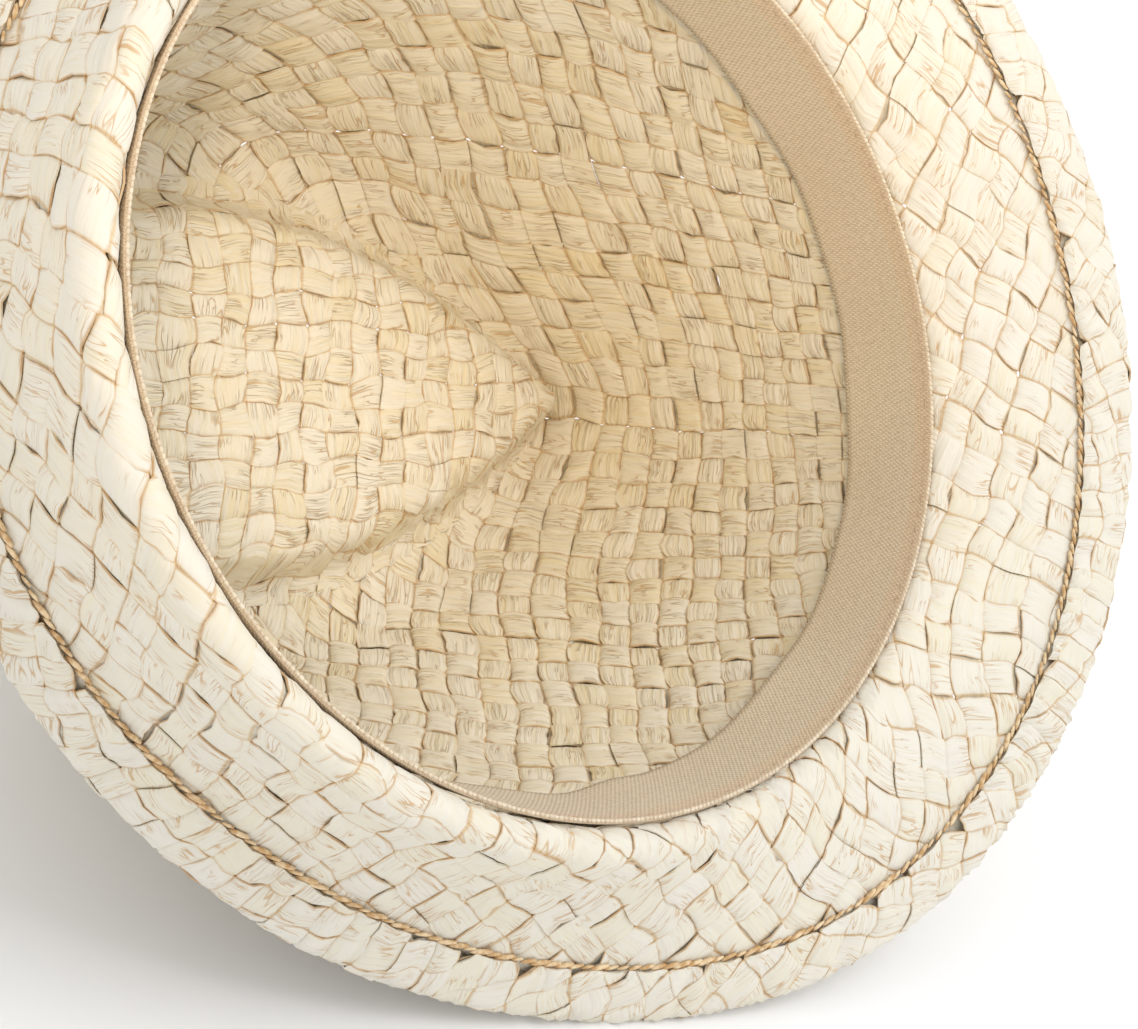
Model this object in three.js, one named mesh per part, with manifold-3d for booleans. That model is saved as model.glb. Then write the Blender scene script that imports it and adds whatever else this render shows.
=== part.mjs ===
// A woven straw trilby with a teardrop crown and a short brim turned up at the back.
// It lies on its left side, on the brim's edge and the crown's rim, as it rests by itself.
// Lengths are in millimetres. The hat's own frame has X to the front, Y to the wearer's left
// and Z up through the crown, with its origin in the middle of the opening.
import * as THREE from "three";
import { mergeVertices } from "three/addons/utils/BufferGeometryUtils.js";
import Module from "manifold-3d";

const wasm = await Module();
wasm.setup();

// Driving dimensions
const headLength = 195; // front to back across the crown's wall at the headline
const headWidth = 176; // side to side there
const headlineDip = 1; // how far the headline sinks at the sides and lifts at front and back
const crownHeight = 112; // headline to the rim of the crown
const crownLean = 8; // how far the rim leans to the wearer's right, away from the floor
const strawThickness = 2; // woven straw, two strips deep
const rollRadius = 3; // the fold where the wall turns into the brim
const brimWidth = 44; // from the fold to the brim's edge
const brimSideLift = 5; // degrees that the left side turns up, and the right down, from an even brim
const hemWidth = 13; // the edge turned under and sewn
const hemThickness = 1.6;
const bandHeight = 21.5; // sweatband
const bandThickness = 1;
const bandStandoff = 1.8; // how far its upper edge stands off the wall
const bandLowestSlope = -75; // degrees round the fold where its lower edge lies
const clearance = 0.3; // between pieces that touch

// How finely the surfaces are stepped
const aroundSteps = 72;
const crownStepsPerRow = 2;
const brimSteps = 5;
const rollSteps = 3;
const bandSteps = 3;

// The crown's rings from the headline to the middle of the tip. Heights are shares of crownHeight,
// centre, front and back are shares of half the headLength, and side is a share of half the headWidth.
// A point of 1 is an ellipse, and more draws the front of the ring into a teardrop's point.
const crownRings = [
  { height: 0.0, centre: 0.0, front: 1.0, back: 1.0, side: 1.0, point: 1.0 },
  { height: 0.19, centre: 0.0, front: 0.99, back: 0.987, side: 0.978, point: 1.0 },
  { height: 0.42, centre: -0.01, front: 0.982, back: 0.955, side: 0.925, point: 1.02 },
  { height: 0.66, centre: -0.04, front: 0.998, back: 0.89, side: 0.83, point: 1.1 },
  { height: 0.86, centre: -0.085, front: 1.022, back: 0.8, side: 0.73, point: 1.3 },
  { height: 0.97, centre: -0.13, front: 1.05, back: 0.71, side: 0.655, point: 1.5 },
  { height: 1.0, centre: -0.16, front: 1.07, back: 0.61, side: 0.51, point: 1.65 },
  { height: 0.962, centre: -0.16, front: 1.05, back: 0.55, side: 0.453, point: 1.95 },
  { height: 0.893, centre: -0.16, front: 1.015, back: 0.515, side: 0.418, point: 2.3 },
  { height: 0.872, centre: -0.16, front: 0.72, back: 0.38, side: 0.302, point: 2.0 },
  { height: 0.868, centre: -0.16, front: 0.31, back: 0.18, side: 0.16, point: 1.4 },
];

// The brim's slope in degrees at its fold and at its edge, by the angle round the head from the front.
// A slope above 0 turns towards the crown. Both sides of the hat follow the same rows.
const brimSlopes = [
  { angle: 0, fold: -43, edge: -14 },
  { angle: 30, fold: -44, edge: 2 },
  { angle: 60, fold: -5, edge: 19 },
  { angle: 90, fold: 53, edge: 37 },
  { angle: 120, fold: 86, edge: 46 },
  { angle: 150, fold: 90, edge: 66 },
  { angle: 180, fold: 90, edge: 72 },
];

const radians = THREE.MathUtils.degToRad;

// A smooth value between the rows of a table, with the slope at each row from its neighbours.
function smoothBetween(rows, column, place) {
  const last = rows.length - 1;
  const index = Math.min(Math.max(Math.floor(place), 0), last - 1);
  const t = place - index;
  const value = (i) => rows[Math.min(Math.max(i, 0), last)][column];
  const [before, from, to, after] = [index - 1, index, index + 1, index + 2].map(value);
  const slopeFrom = (to - before) / 2;
  const slopeTo = (after - from) / 2;
  return (
    from * (1 - 3 * t * t + 2 * t * t * t) +
    to * (3 * t * t - 2 * t * t * t) +
    slopeFrom * (t - 2 * t * t + t * t * t) +
    slopeTo * (t * t * t - t * t)
  );
}

// The middle of the crown's straw at an angle round the head, a place in the table of rings.
function crownMiddle(angle, place) {
  const at = (column) => smoothBetween(crownRings, column, place);
  const isFront = Math.cos(angle) > 0;
  const reach = (isFront ? at("front") : at("back")) * (headLength / 2);
  const share = Math.abs(Math.sin(angle)) ** (isFront ? at("point") : 1);
  const height = at("height") * crownHeight;
  const lean = crownLean * at("height");
  return new THREE.Vector3(
    at("centre") * (headLength / 2) + reach * Math.cos(angle),
    Math.sign(Math.sin(angle)) * share * at("side") * (headWidth / 2) - lean,
    height + seamHeight(angle),
  );
}

// The height of the seam between the crown and the fold, round the dipping headline.
function seamHeight(angle) {
  return headlineDip * Math.cos(2 * angle) + rollRadius * Math.SQRT1_2;
}

// The slope of the brim in radians, a share of the way from its fold to its edge.
function brimSlope(angle, share) {
  const turned = Math.abs(Math.atan2(Math.sin(angle), Math.cos(angle)));
  const place = turned / radians(brimSlopes[1].angle);
  const fold = smoothBetween(brimSlopes, "fold", place);
  const edge = smoothBetween(brimSlopes, "edge", place);
  const lift = brimSideLift * Math.sin(angle);
  return radians(fold + (edge - fold) * share + lift);
}

// The outward direction of the headline's ellipse in plan.
function outward(angle) {
  return new THREE.Vector3(
    (headWidth / 2) * Math.cos(angle),
    (headLength / 2) * Math.sin(angle),
    0,
  ).normalize();
}

// A point of the section at an angle round the head: out from the crown's seam, and up.
function sectionPoint(angle, out, up) {
  const seam = new THREE.Vector3(
    (headLength / 2) * Math.cos(angle),
    (headWidth / 2) * Math.sin(angle),
    seamHeight(angle),
  );
  return seam.addScaledVector(outward(angle), out).setZ(seam.z + up);
}

// The middle of the fold's straw turned to a slope, moved off it by an offset to the under side.
function foldPoint(angle, slope, offset) {
  const radius = rollRadius + offset;
  return sectionPoint(angle, rollRadius + radius * Math.sin(slope), -radius * Math.cos(slope));
}

// A point of the brim at a distance from its fold, moved off it by an offset to the under side.
function brimPoint(angle, distance, offset) {
  const strides = 8;
  const fold = brimSlope(angle, 0);
  let out = rollRadius + rollRadius * Math.sin(fold);
  let up = -rollRadius * Math.cos(fold);
  for (let stride = 0; stride < strides; stride += 1) {
    const slope = brimSlope(angle, (distance / brimWidth) * ((stride + 0.5) / strides));
    out += (Math.cos(slope) * distance) / strides;
    up += (Math.sin(slope) * distance) / strides;
  }
  const slope = brimSlope(angle, distance / brimWidth);
  return sectionPoint(angle, out + offset * Math.sin(slope), up - offset * Math.cos(slope));
}

// One closed body from a loop of section points at each angle round the head.
function ringBody(sectionAt) {
  const positions = [];
  const faces = [];
  let count = 0;
  for (let step = 0; step < aroundSteps; step += 1) {
    const section = sectionAt((2 * Math.PI * step) / aroundSteps);
    count = section.length;
    section.forEach((point) => positions.push(point.x, point.y, point.z));
  }
  for (let step = 0; step < aroundSteps; step += 1) {
    const next = (step + 1) % aroundSteps;
    for (let i = 0; i < count; i += 1) {
      const j = (i + 1) % count;
      const corners = [step * count + i, step * count + j, next * count + j, next * count + i];
      faces.push(corners[0], corners[1], corners[2], corners[0], corners[2], corners[3]);
    }
  }
  return facingOut(positions, faces);
}

// A geometry whose faces point out of the body, whichever way they were listed.
function facingOut(positions, faces) {
  const geometry = new THREE.BufferGeometry();
  geometry.setAttribute("position", new THREE.Float32BufferAttribute(positions, 3));
  geometry.setIndex(faces);
  if (signedVolume(geometry) < 0) {
    geometry.setIndex(faces.map((_, i) => faces[i - (i % 3) + (2 - (i % 3))]));
  }
  geometry.computeVertexNormals();
  return geometry;
}

function signedVolume(geometry) {
  const position = geometry.attributes.position;
  const index = geometry.index;
  const corner = (i) => new THREE.Vector3().fromBufferAttribute(position, index.getX(i));
  let volume = 0;
  for (let i = 0; i < index.count; i += 3) {
    volume += corner(i).dot(corner(i + 1).cross(corner(i + 2))) / 6;
  }
  return volume;
}

// The direction out of the crown's surface, from its neighbours along and round it.
function crownNormal(angle, place) {
  const nudge = 0.02;
  const low = Math.max(place - nudge, 0);
  const high = Math.min(place + nudge, crownRings.length - 1);
  const along = crownMiddle(angle, high).sub(crownMiddle(angle, low));
  const round = crownMiddle(angle + nudge, place).sub(crownMiddle(angle - nudge, place));
  return round.cross(along).normalize();
}

// The crown's wall and dented tip, one shell whose lower edge stands on the fold's seam.
function crownGeometry() {
  const places = (crownRings.length - 1) * crownStepsPerRow;
  const positions = [];
  const faces = [];
  const half = strawThickness / 2;
  const gap = new THREE.Vector3(0, 0, clearance);
  const skins = [half, -half]; // the outer face, then the inner
  for (const offset of skins) {
    for (let row = 0; row <= places; row += 1) {
      const place = row / crownStepsPerRow;
      for (let step = 0; step < aroundSteps; step += 1) {
        const angle = (2 * Math.PI * step) / aroundSteps;
        const point = crownMiddle(angle, place);
        if (row === 0) {
          point.addScaledVector(outward(angle), offset).add(gap);
        } else {
          point.addScaledVector(crownNormal(angle, place), offset);
        }
        positions.push(point.x, point.y, point.z);
      }
    }
  }
  const rows = places + 1;
  const at = (skin, row, step) => (skin * rows + row) * aroundSteps + (step % aroundSteps);
  const quad = (a, b, c, d, flip) => {
    faces.push(...(flip ? [a, c, b, a, d, c] : [a, b, c, a, c, d]));
  };
  for (let step = 0; step < aroundSteps; step += 1) {
    for (let row = 0; row < places; row += 1) {
      quad(at(0, row, step), at(0, row, step + 1), at(0, row + 1, step + 1), at(0, row + 1, step), false);
      quad(at(1, row, step), at(1, row, step + 1), at(1, row + 1, step + 1), at(1, row + 1, step), true);
    }
    quad(at(1, 0, step), at(1, 0, step + 1), at(0, 0, step + 1), at(0, 0, step), false);
  }
  const last = crownRings[crownRings.length - 1];
  skins.forEach((offset, skin) => {
    const middle = positions.length / 3;
    const height = last.height * crownHeight;
    positions.push(
      last.centre * (headLength / 2),
      -crownLean * last.height,
      height + rollRadius * Math.SQRT1_2 + offset,
    );
    for (let step = 0; step < aroundSteps; step += 1) {
      const pair = [at(skin, places, step), at(skin, places, step + 1)];
      faces.push(...(skin === 0 ? pair : pair.reverse()), middle);
    }
  });
  return facingOut(positions, faces);
}

// The brim, from the seam at the crown round the fold and out to just inside the hem's turned edge.
function brimGeometry() {
  const half = strawThickness / 2;
  const reach = brimWidth - hemThickness - clearance;
  return ringBody((angle) => {
    const upper = [];
    const under = [];
    const fold = brimSlope(angle, 0);
    for (let step = 0; step < rollSteps; step += 1) {
      const slope = -Math.PI / 2 + ((fold + Math.PI / 2) * step) / rollSteps;
      upper.push(foldPoint(angle, slope, -half));
      under.push(foldPoint(angle, slope, half));
    }
    for (let step = 0; step <= brimSteps; step += 1) {
      upper.push(brimPoint(angle, (reach * step) / brimSteps, -half));
      under.push(brimPoint(angle, (reach * step) / brimSteps, half));
    }
    return [...upper, ...under.reverse()];
  });
}

// The brim's edge turned under: a strip on the under side, and the turn that covers the edge.
function hemGeometry() {
  const face = strawThickness / 2 + clearance;
  const crest = face + hemThickness;
  const inner = brimWidth - hemWidth;
  const middle = brimWidth - hemWidth / 2;
  const turn = brimWidth - hemThickness;
  const corner = hemThickness / 2;
  return ringBody((angle) => [
    brimPoint(angle, inner, face),
    brimPoint(angle, inner, crest - corner / 2),
    brimPoint(angle, inner + corner, crest),
    brimPoint(angle, middle, crest),
    brimPoint(angle, brimWidth - corner, crest),
    brimPoint(angle, brimWidth, crest - corner),
    brimPoint(angle, brimWidth, -strawThickness / 2),
    brimPoint(angle, turn, -strawThickness / 2),
    brimPoint(angle, turn, face),
    brimPoint(angle, middle, face),
  ]);
}

// The place in the table of rings where the wall reaches a height.
function ringPlace(height) {
  const stride = 0.01;
  let place = 0;
  while (smoothBetween(crownRings, "height", place) * crownHeight < height) {
    place += stride;
  }
  return place;
}

// The sweatband, a cloth tape that stands on the fold and follows the crown's wall inside.
function sweatbandGeometry() {
  const face = strawThickness / 2 + clearance;
  const lowest = radians(bandLowestSlope);
  return ringBody((angle) => {
    const onFold = [lowest, (lowest - Math.PI / 2) / 2];
    const toWall = onFold.map((slope) => foldPoint(angle, slope, face));
    const toHead = onFold.map((slope) => foldPoint(angle, slope, face + bandThickness));
    for (let step = 0; step <= bandSteps; step += 1) {
      const share = step / bandSteps;
      const place = ringPlace(clearance + (bandHeight - rollRadius) * share);
      const middle = crownMiddle(angle, place);
      const inward = crownNormal(angle, place).negate();
      const off = face + bandStandoff * share;
      toWall.push(middle.clone().addScaledVector(inward, off));
      toHead.push(middle.clone().addScaledVector(inward, off + bandThickness));
    }
    return [...toWall, ...toHead.reverse()];
  });
}

function finish(color, roughness) {
  return new THREE.MeshStandardMaterial({ color, roughness, metalness: 0 });
}

const straw = finish(0xe6dbc5, 0.75);
const hemStraw = finish(0xe7dfce, 0.75);
const cotton = finish(0xc8b28e, 0.9);

function piece(name, geometry, material) {
  const mesh = new THREE.Mesh(geometry, material);
  mesh.name = name;
  return mesh;
}

const hat = new THREE.Group();
hat.add(piece("crown", crownGeometry(), straw));
hat.add(piece("brim", brimGeometry(), straw));
hat.add(piece("brim_hem", hemGeometry(), hemStraw));
hat.add(piece("sweatband", sweatbandGeometry(), cotton));

// A solid of a geometry that holds only its positions and their order.
function solidOf(geometry) {
  const bare = geometry.clone();
  bare.deleteAttribute("normal");
  const merged = mergeVertices(bare, 1e-3);
  return new wasm.Manifold(
    new wasm.Mesh({
      numProp: 3,
      vertProperties: merged.attributes.position.array,
      triVerts: new Uint32Array(merged.index.array),
    }),
  );
}

// The point where the whole hat balances, each piece weighed by its volume.
function balancePoint(geometries) {
  const sum = new THREE.Vector3();
  let total = 0;
  for (const geometry of geometries) {
    const position = geometry.attributes.position;
    const index = geometry.index;
    for (let i = 0; i < index.count; i += 3) {
      const [a, b, c] = [0, 1, 2].map((k) =>
        new THREE.Vector3().fromBufferAttribute(position, index.getX(i + k)),
      );
      const weight = a.dot(b.clone().cross(c)) / 6;
      sum.addScaledVector(a.add(b).add(c).divideScalar(4), weight);
      total += weight;
    }
  }
  return sum.divideScalar(total);
}

// The plane that the hat lies on: the facet of its hull on the left side that is nearest
// to the point where it balances, which is the facet that it settles on by itself.
function restingPlane(meshes) {
  const lowerSide = new THREE.Vector3(0, 1, 1).normalize(); // to the left and up the crown
  const widestTurn = radians(20);
  const geometries = meshes.map((mesh) => mesh.geometry);
  const balance = balancePoint(geometries);
  const hull = wasm.Manifold.hull(geometries.map(solidOf)).getMesh();
  const corner = (i) => {
    const at = hull.triVerts[i] * hull.numProp;
    return new THREE.Vector3().fromArray(hull.vertProperties, at);
  };
  let nearest = null;
  for (let i = 0; i < hull.triVerts.length; i += 3) {
    const plane = new THREE.Plane().setFromCoplanarPoints(corner(i), corner(i + 1), corner(i + 2));
    const drop = -plane.distanceToPoint(balance);
    const isBelow = plane.normal.angleTo(lowerSide) < widestTurn;
    if (isBelow && (!nearest || drop < nearest.drop)) {
      nearest = { plane, drop };
    }
  }
  return nearest.plane;
}

// Turns the hat so that its resting plane is the floor and its opening faces -Y, with its
// front to +X, and then sets the middle of its box over the origin.
const floor = restingPlane(hat.children);
const settle = new THREE.Quaternion().setFromUnitVectors(floor.normal, new THREE.Vector3(0, 0, -1));
const crownAxis = new THREE.Vector3(0, 0, 1).applyQuaternion(settle);
const heading = new THREE.Quaternion().setFromAxisAngle(
  new THREE.Vector3(0, 0, 1),
  Math.PI / 2 - Math.atan2(crownAxis.y, crownAxis.x),
);
hat.quaternion.copy(heading.multiply(settle));
hat.updateMatrixWorld(true);
const box = new THREE.Box3().setFromObject(hat, true);
const middle = box.getCenter(new THREE.Vector3());
hat.position.set(-middle.x, -middle.y, -box.min.z);

const part = new THREE.Group();
part.add(hat);

export default part;
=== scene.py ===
"""A woven straw trilby that lies on its side on a pale floor, seen from under its brim."""

import logging
import math
from collections.abc import Callable
from dataclasses import dataclass, field
from enum import Enum, IntEnum

import bpy
import numpy as np
from mathutils import Matrix, Vector

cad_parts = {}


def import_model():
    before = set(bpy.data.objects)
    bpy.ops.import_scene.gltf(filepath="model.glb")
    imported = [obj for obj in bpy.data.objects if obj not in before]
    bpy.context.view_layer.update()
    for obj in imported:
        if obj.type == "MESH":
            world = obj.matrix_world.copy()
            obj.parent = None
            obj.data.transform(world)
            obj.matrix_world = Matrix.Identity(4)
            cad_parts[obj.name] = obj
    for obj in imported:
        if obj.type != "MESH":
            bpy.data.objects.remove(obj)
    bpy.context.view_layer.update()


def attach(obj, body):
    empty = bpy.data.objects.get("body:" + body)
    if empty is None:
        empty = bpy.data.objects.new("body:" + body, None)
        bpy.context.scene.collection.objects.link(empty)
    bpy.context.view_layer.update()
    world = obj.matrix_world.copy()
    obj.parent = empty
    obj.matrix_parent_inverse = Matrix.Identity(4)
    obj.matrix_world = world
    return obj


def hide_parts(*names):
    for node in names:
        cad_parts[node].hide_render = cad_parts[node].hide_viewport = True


LOG = logging.getLogger("trilby")
MM = 0.001
TURN = 2 * math.pi
HEM_THREAD_IN = 13.7
Points = np.ndarray
Pair = tuple[Points, Points]
Spot = tuple[float, float, float]
Colour = tuple[float, float, float, float]
Socket = bpy.types.NodeSocket
CROWN_RINGS = np.array(
    [
        # height, centre, front, back, side, point
        [0.0, 0.0, 1.0, 1.0, 1.0, 1.0],
        [0.19, 0.0, 0.99, 0.987, 0.978, 1.0],
        [0.42, -0.01, 0.982, 0.955, 0.925, 1.02],
        [0.66, -0.04, 0.998, 0.89, 0.83, 1.1],
        [0.86, -0.085, 1.022, 0.8, 0.73, 1.3],
        [0.97, -0.13, 1.05, 0.71, 0.655, 1.5],
        [1.0, -0.16, 1.07, 0.61, 0.51, 1.65],
        [0.962, -0.16, 1.05, 0.55, 0.453, 1.95],
        [0.893, -0.16, 1.015, 0.515, 0.418, 2.3],
        [0.872, -0.16, 0.72, 0.38, 0.302, 2.0],
        [0.868, -0.16, 0.31, 0.18, 0.16, 1.4],
    ]
)
BRIM_SLOPES = np.array(
    [
        # degrees at the fold and at the edge, every 30 degrees from the front round to the back
        [-43.0, -14.0],
        [-44.0, 2.0],
        [-5.0, 19.0],
        [53.0, 37.0],
        [86.0, 46.0],
        [90.0, 66.0],
        [90.0, 72.0],
    ]
)
# where the hat's own axes and origin lie on the floor
LYING = np.array(
    [
        [0.9847162102406222, -0.17416654469026727, 0.0],
        [-0.11864676091106487, -0.6708141851779972, 0.732073271667045],
        [-0.1275026721863486, -0.7208844176944259, -0.6812258985907007],
    ]
)
LYING_AT = np.array([-12.096004157259138, -21.821687107910222, 111.46132832374195])
HEM_PATH = np.array(
    [
        # millimetres in from the brim's edge, and off the brim's middle to the under side
        [1.9, -0.75],
        [0.75, -0.6],
        [0.35, 0.7],
        [1.3, 2.0],
        [4.5, 2.15],
        [8.5, 2.15],
        [12.0, 2.1],
        [13.1, 1.5],
    ]
)


def smooth_between(table: Points, column: int, place: Points) -> Points:
    """Reads a smooth value between the rows of a table.

    Args:
        table: Rows of numbers, one row for each whole place.
        column: The column to read.
        place: Places in the table, fractions allowed.

    Returns:
        The values, with the slope at each row taken from its neighbours.
    """
    last = len(table) - 1
    index = np.clip(np.floor(place).astype(int), 0, last - 1)
    t = place - index
    before, start, end, after = (
        table[np.clip(index + step, 0, last), column] for step in (-1, 0, 1, 2)
    )
    slope_start = (end - before) / 2
    slope_end = (after - start) / 2
    return (
        start * (1 - 3 * t**2 + 2 * t**3)
        + end * (3 * t**2 - 2 * t**3)
        + slope_start * (t - 2 * t**2 + t**3)
        + slope_end * (t**3 - t**2)
    )


def unit(vectors: Points) -> Points:
    """Returns the vectors at length one."""
    return vectors / np.maximum(np.linalg.norm(vectors, axis=-1, keepdims=True), 1e-9)


def fold_noise(seed: int, *keys: Points) -> Points:
    """Gives one repeatable number from -1 to 1 for each set of whole numbers.

    Args:
        seed: Which series of numbers.
        keys: Whole numbers that name a strip, a crossing or both.

    Returns:
        Numbers spread evenly from -1 to 1.
    """
    value = np.full(np.broadcast(*keys).shape, float(seed) * 0.731)
    for step, key in enumerate(keys):
        value = value + np.asarray(key, float) * (12.9898 + 65.124 * step)
    mixed = np.sin(value) * 43758.5453
    return 2 * (mixed - np.floor(mixed)) - 1


def rippled(start: Points, x: Points, y: Points, waves: tuple[tuple[float, ...], ...]) -> Points:
    """Makes a measure uneven with slow waves.

    Args:
        start: The measure.
        x: The first coordinate that the waves run by.
        y: The second coordinate.
        waves: Each wave's size, its rate by x and by y, and where it starts.

    Returns:
        The uneven measure.
    """
    for size, by_x, by_y, phase in waves:
        start = start + size * np.sin(by_x * x + by_y * y + phase)
    return start


def stand(name: str, data: bpy.types.ID) -> bpy.types.Object:
    """Puts a mesh, a lamp or a lens into the scene."""
    made = bpy.data.objects.new(name, data)
    bpy.context.scene.collection.objects.link(made)
    return made


def point_at(lamp: bpy.types.Object, place: Spot, aim: Spot) -> None:
    """Moves a lamp to its place and turns it to what it lights."""
    lamp.location = place
    way = np.array(aim) - np.array(place)
    lamp.rotation_euler = Vector(way).to_track_quat("-Z", "Y").to_euler()


@dataclass
class HatForm:
    """The trilby's form in millimetres: +X front, +Y the wearer's left, +Z up through the crown."""

    head_length: float = 195.0
    head_width: float = 176.0
    headline_dip: float = 1.0
    crown_height: float = 112.0
    crown_lean: float = 8.0
    roll: float = 3.0
    brim_width: float = 44.0
    side_lift: float = 5.0

    def on_floor(self, points: Points) -> Points:
        """Lays points of the hat's own frame down with the hat, in metres."""
        return (points @ LYING.T + LYING_AT) * MM

    def seam_height(self, angle: Points) -> Points:
        """Returns the height of the seam between the crown and the fold."""
        return self.headline_dip * np.cos(2 * angle) + self.roll * math.sqrt(0.5)

    def crown_middle(self, angle: Points, place: Points) -> Points:
        """Finds the middle of the crown's straw.

        Args:
            angle: Radians round the head from the front.
            place: The place in the table of rings.

        Returns:
            Points of the hat's own frame.
        """
        angle, place = np.broadcast_arrays(np.asarray(angle, float), np.asarray(place, float))
        rings = CROWN_RINGS
        front = np.cos(angle) > 0
        ends = np.where(front, smooth_between(rings, 2, place), smooth_between(rings, 3, place))
        share = np.abs(np.sin(angle)) ** np.where(front, smooth_between(rings, 5, place), 1.0)
        height = smooth_between(rings, 0, place)
        half_length = self.head_length / 2
        half_width = self.head_width / 2
        x = smooth_between(rings, 1, place) * half_length + ends * half_length * np.cos(angle)
        y = np.sign(np.sin(angle)) * share * smooth_between(rings, 4, place) * half_width
        z = height * self.crown_height + self.seam_height(angle)
        return np.stack([x, y - self.crown_lean * height, z], axis=-1)

    def outward(self, angle: Points) -> Points:
        """Returns the outward direction of the headline in plan."""
        across = self.head_width / 2 * np.cos(angle)
        along = self.head_length / 2 * np.sin(angle)
        return unit(np.stack([across, along, np.zeros_like(across)], axis=-1))

    def section_point(self, angle: Points, out: Points, up: Points) -> Points:
        """Finds a point of the section at an angle: out from the crown's seam, and up."""
        seam = np.stack(
            [
                self.head_length / 2 * np.cos(angle),
                self.head_width / 2 * np.sin(angle),
                self.seam_height(angle) + up,
            ],
            axis=-1,
        )
        return seam + self.outward(angle) * np.asarray(out)[..., None]

    def brim_slope(self, angle: Points, share: Points) -> Points:
        """Returns the brim's slope in radians, a share of the way from its fold to its edge."""
        turned = np.abs(np.arctan2(np.sin(angle), np.cos(angle)))
        place = turned / math.radians(30)
        fold = smooth_between(BRIM_SLOPES, 0, place)
        edge = smooth_between(BRIM_SLOPES, 1, place)
        return np.radians(fold + (edge - fold) * share + self.side_lift * np.sin(angle))

    def fold_point(self, angle: Points, slope: Points, offset: Points) -> Points:
        """Finds the fold's straw where it has turned to a slope, moved to the under side."""
        radius = self.roll + offset
        return self.section_point(angle, self.roll + radius * np.sin(slope), -radius * np.cos(slope))

    def brim_point(self, angle: Points, distance: Points, offset: Points) -> Points:
        """Finds a point of the brim.

        Args:
            angle: Radians round the head from the front.
            distance: Millimetres out from the fold. Below zero it goes back round the fold.
            offset: Millimetres off the middle of the straw to the under side.

        Returns:
            Points of the hat's own frame.
        """
        angle, distance, offset = np.broadcast_arrays(
            np.asarray(angle, float), np.asarray(distance, float), np.asarray(offset, float)
        )
        beyond = np.maximum(distance, 0)
        fold = self.brim_slope(angle, np.zeros_like(angle))
        out = self.roll + self.roll * np.sin(fold)
        up = -self.roll * np.cos(fold)
        strides = 8
        for stride in range(strides):
            slope = self.brim_slope(angle, beyond / self.brim_width * ((stride + 0.5) / strides))
            out = out + np.cos(slope) * beyond / strides
            up = up + np.sin(slope) * beyond / strides
        slope = self.brim_slope(angle, beyond / self.brim_width)
        flat = self.section_point(angle, out + offset * np.sin(slope), up - offset * np.cos(slope))
        back = np.maximum(fold + np.minimum(distance, 0) / self.roll, -math.pi / 2)
        rolled = self.fold_point(angle, back, offset)
        return np.where((distance < 0)[..., None], rolled, flat)


FORM = HatForm()


class Family(Enum):
    """The two sets of strips that cross in a weave."""

    ALONG = "along"
    ACROSS = "across"


@dataclass(frozen=True)
class StripCut:
    """How the strips of a weave are cut and woven, in millimetres."""

    pitch: float
    depth: float
    thickness: float = 0.34
    cover: tuple[float, float] = (1.03, 1.03)
    pinch: tuple[float, float] = (0.1, 0.1)
    bulge: float = 0.2
    curl: float = 0.06
    tilt: float = 0.38
    crease: float = 0.15
    uneven: float = 0.08
    floats: float = 0.06
    rows: tuple[float, ...] = (-0.5, -0.42, -0.28, 0.0, 0.28, 0.42, 0.5)
    columns: int = 6
    seed: int = 3
    flat_half: float = 0.24
    turn_length: float = 0.26
    lean: float = 0.07


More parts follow.
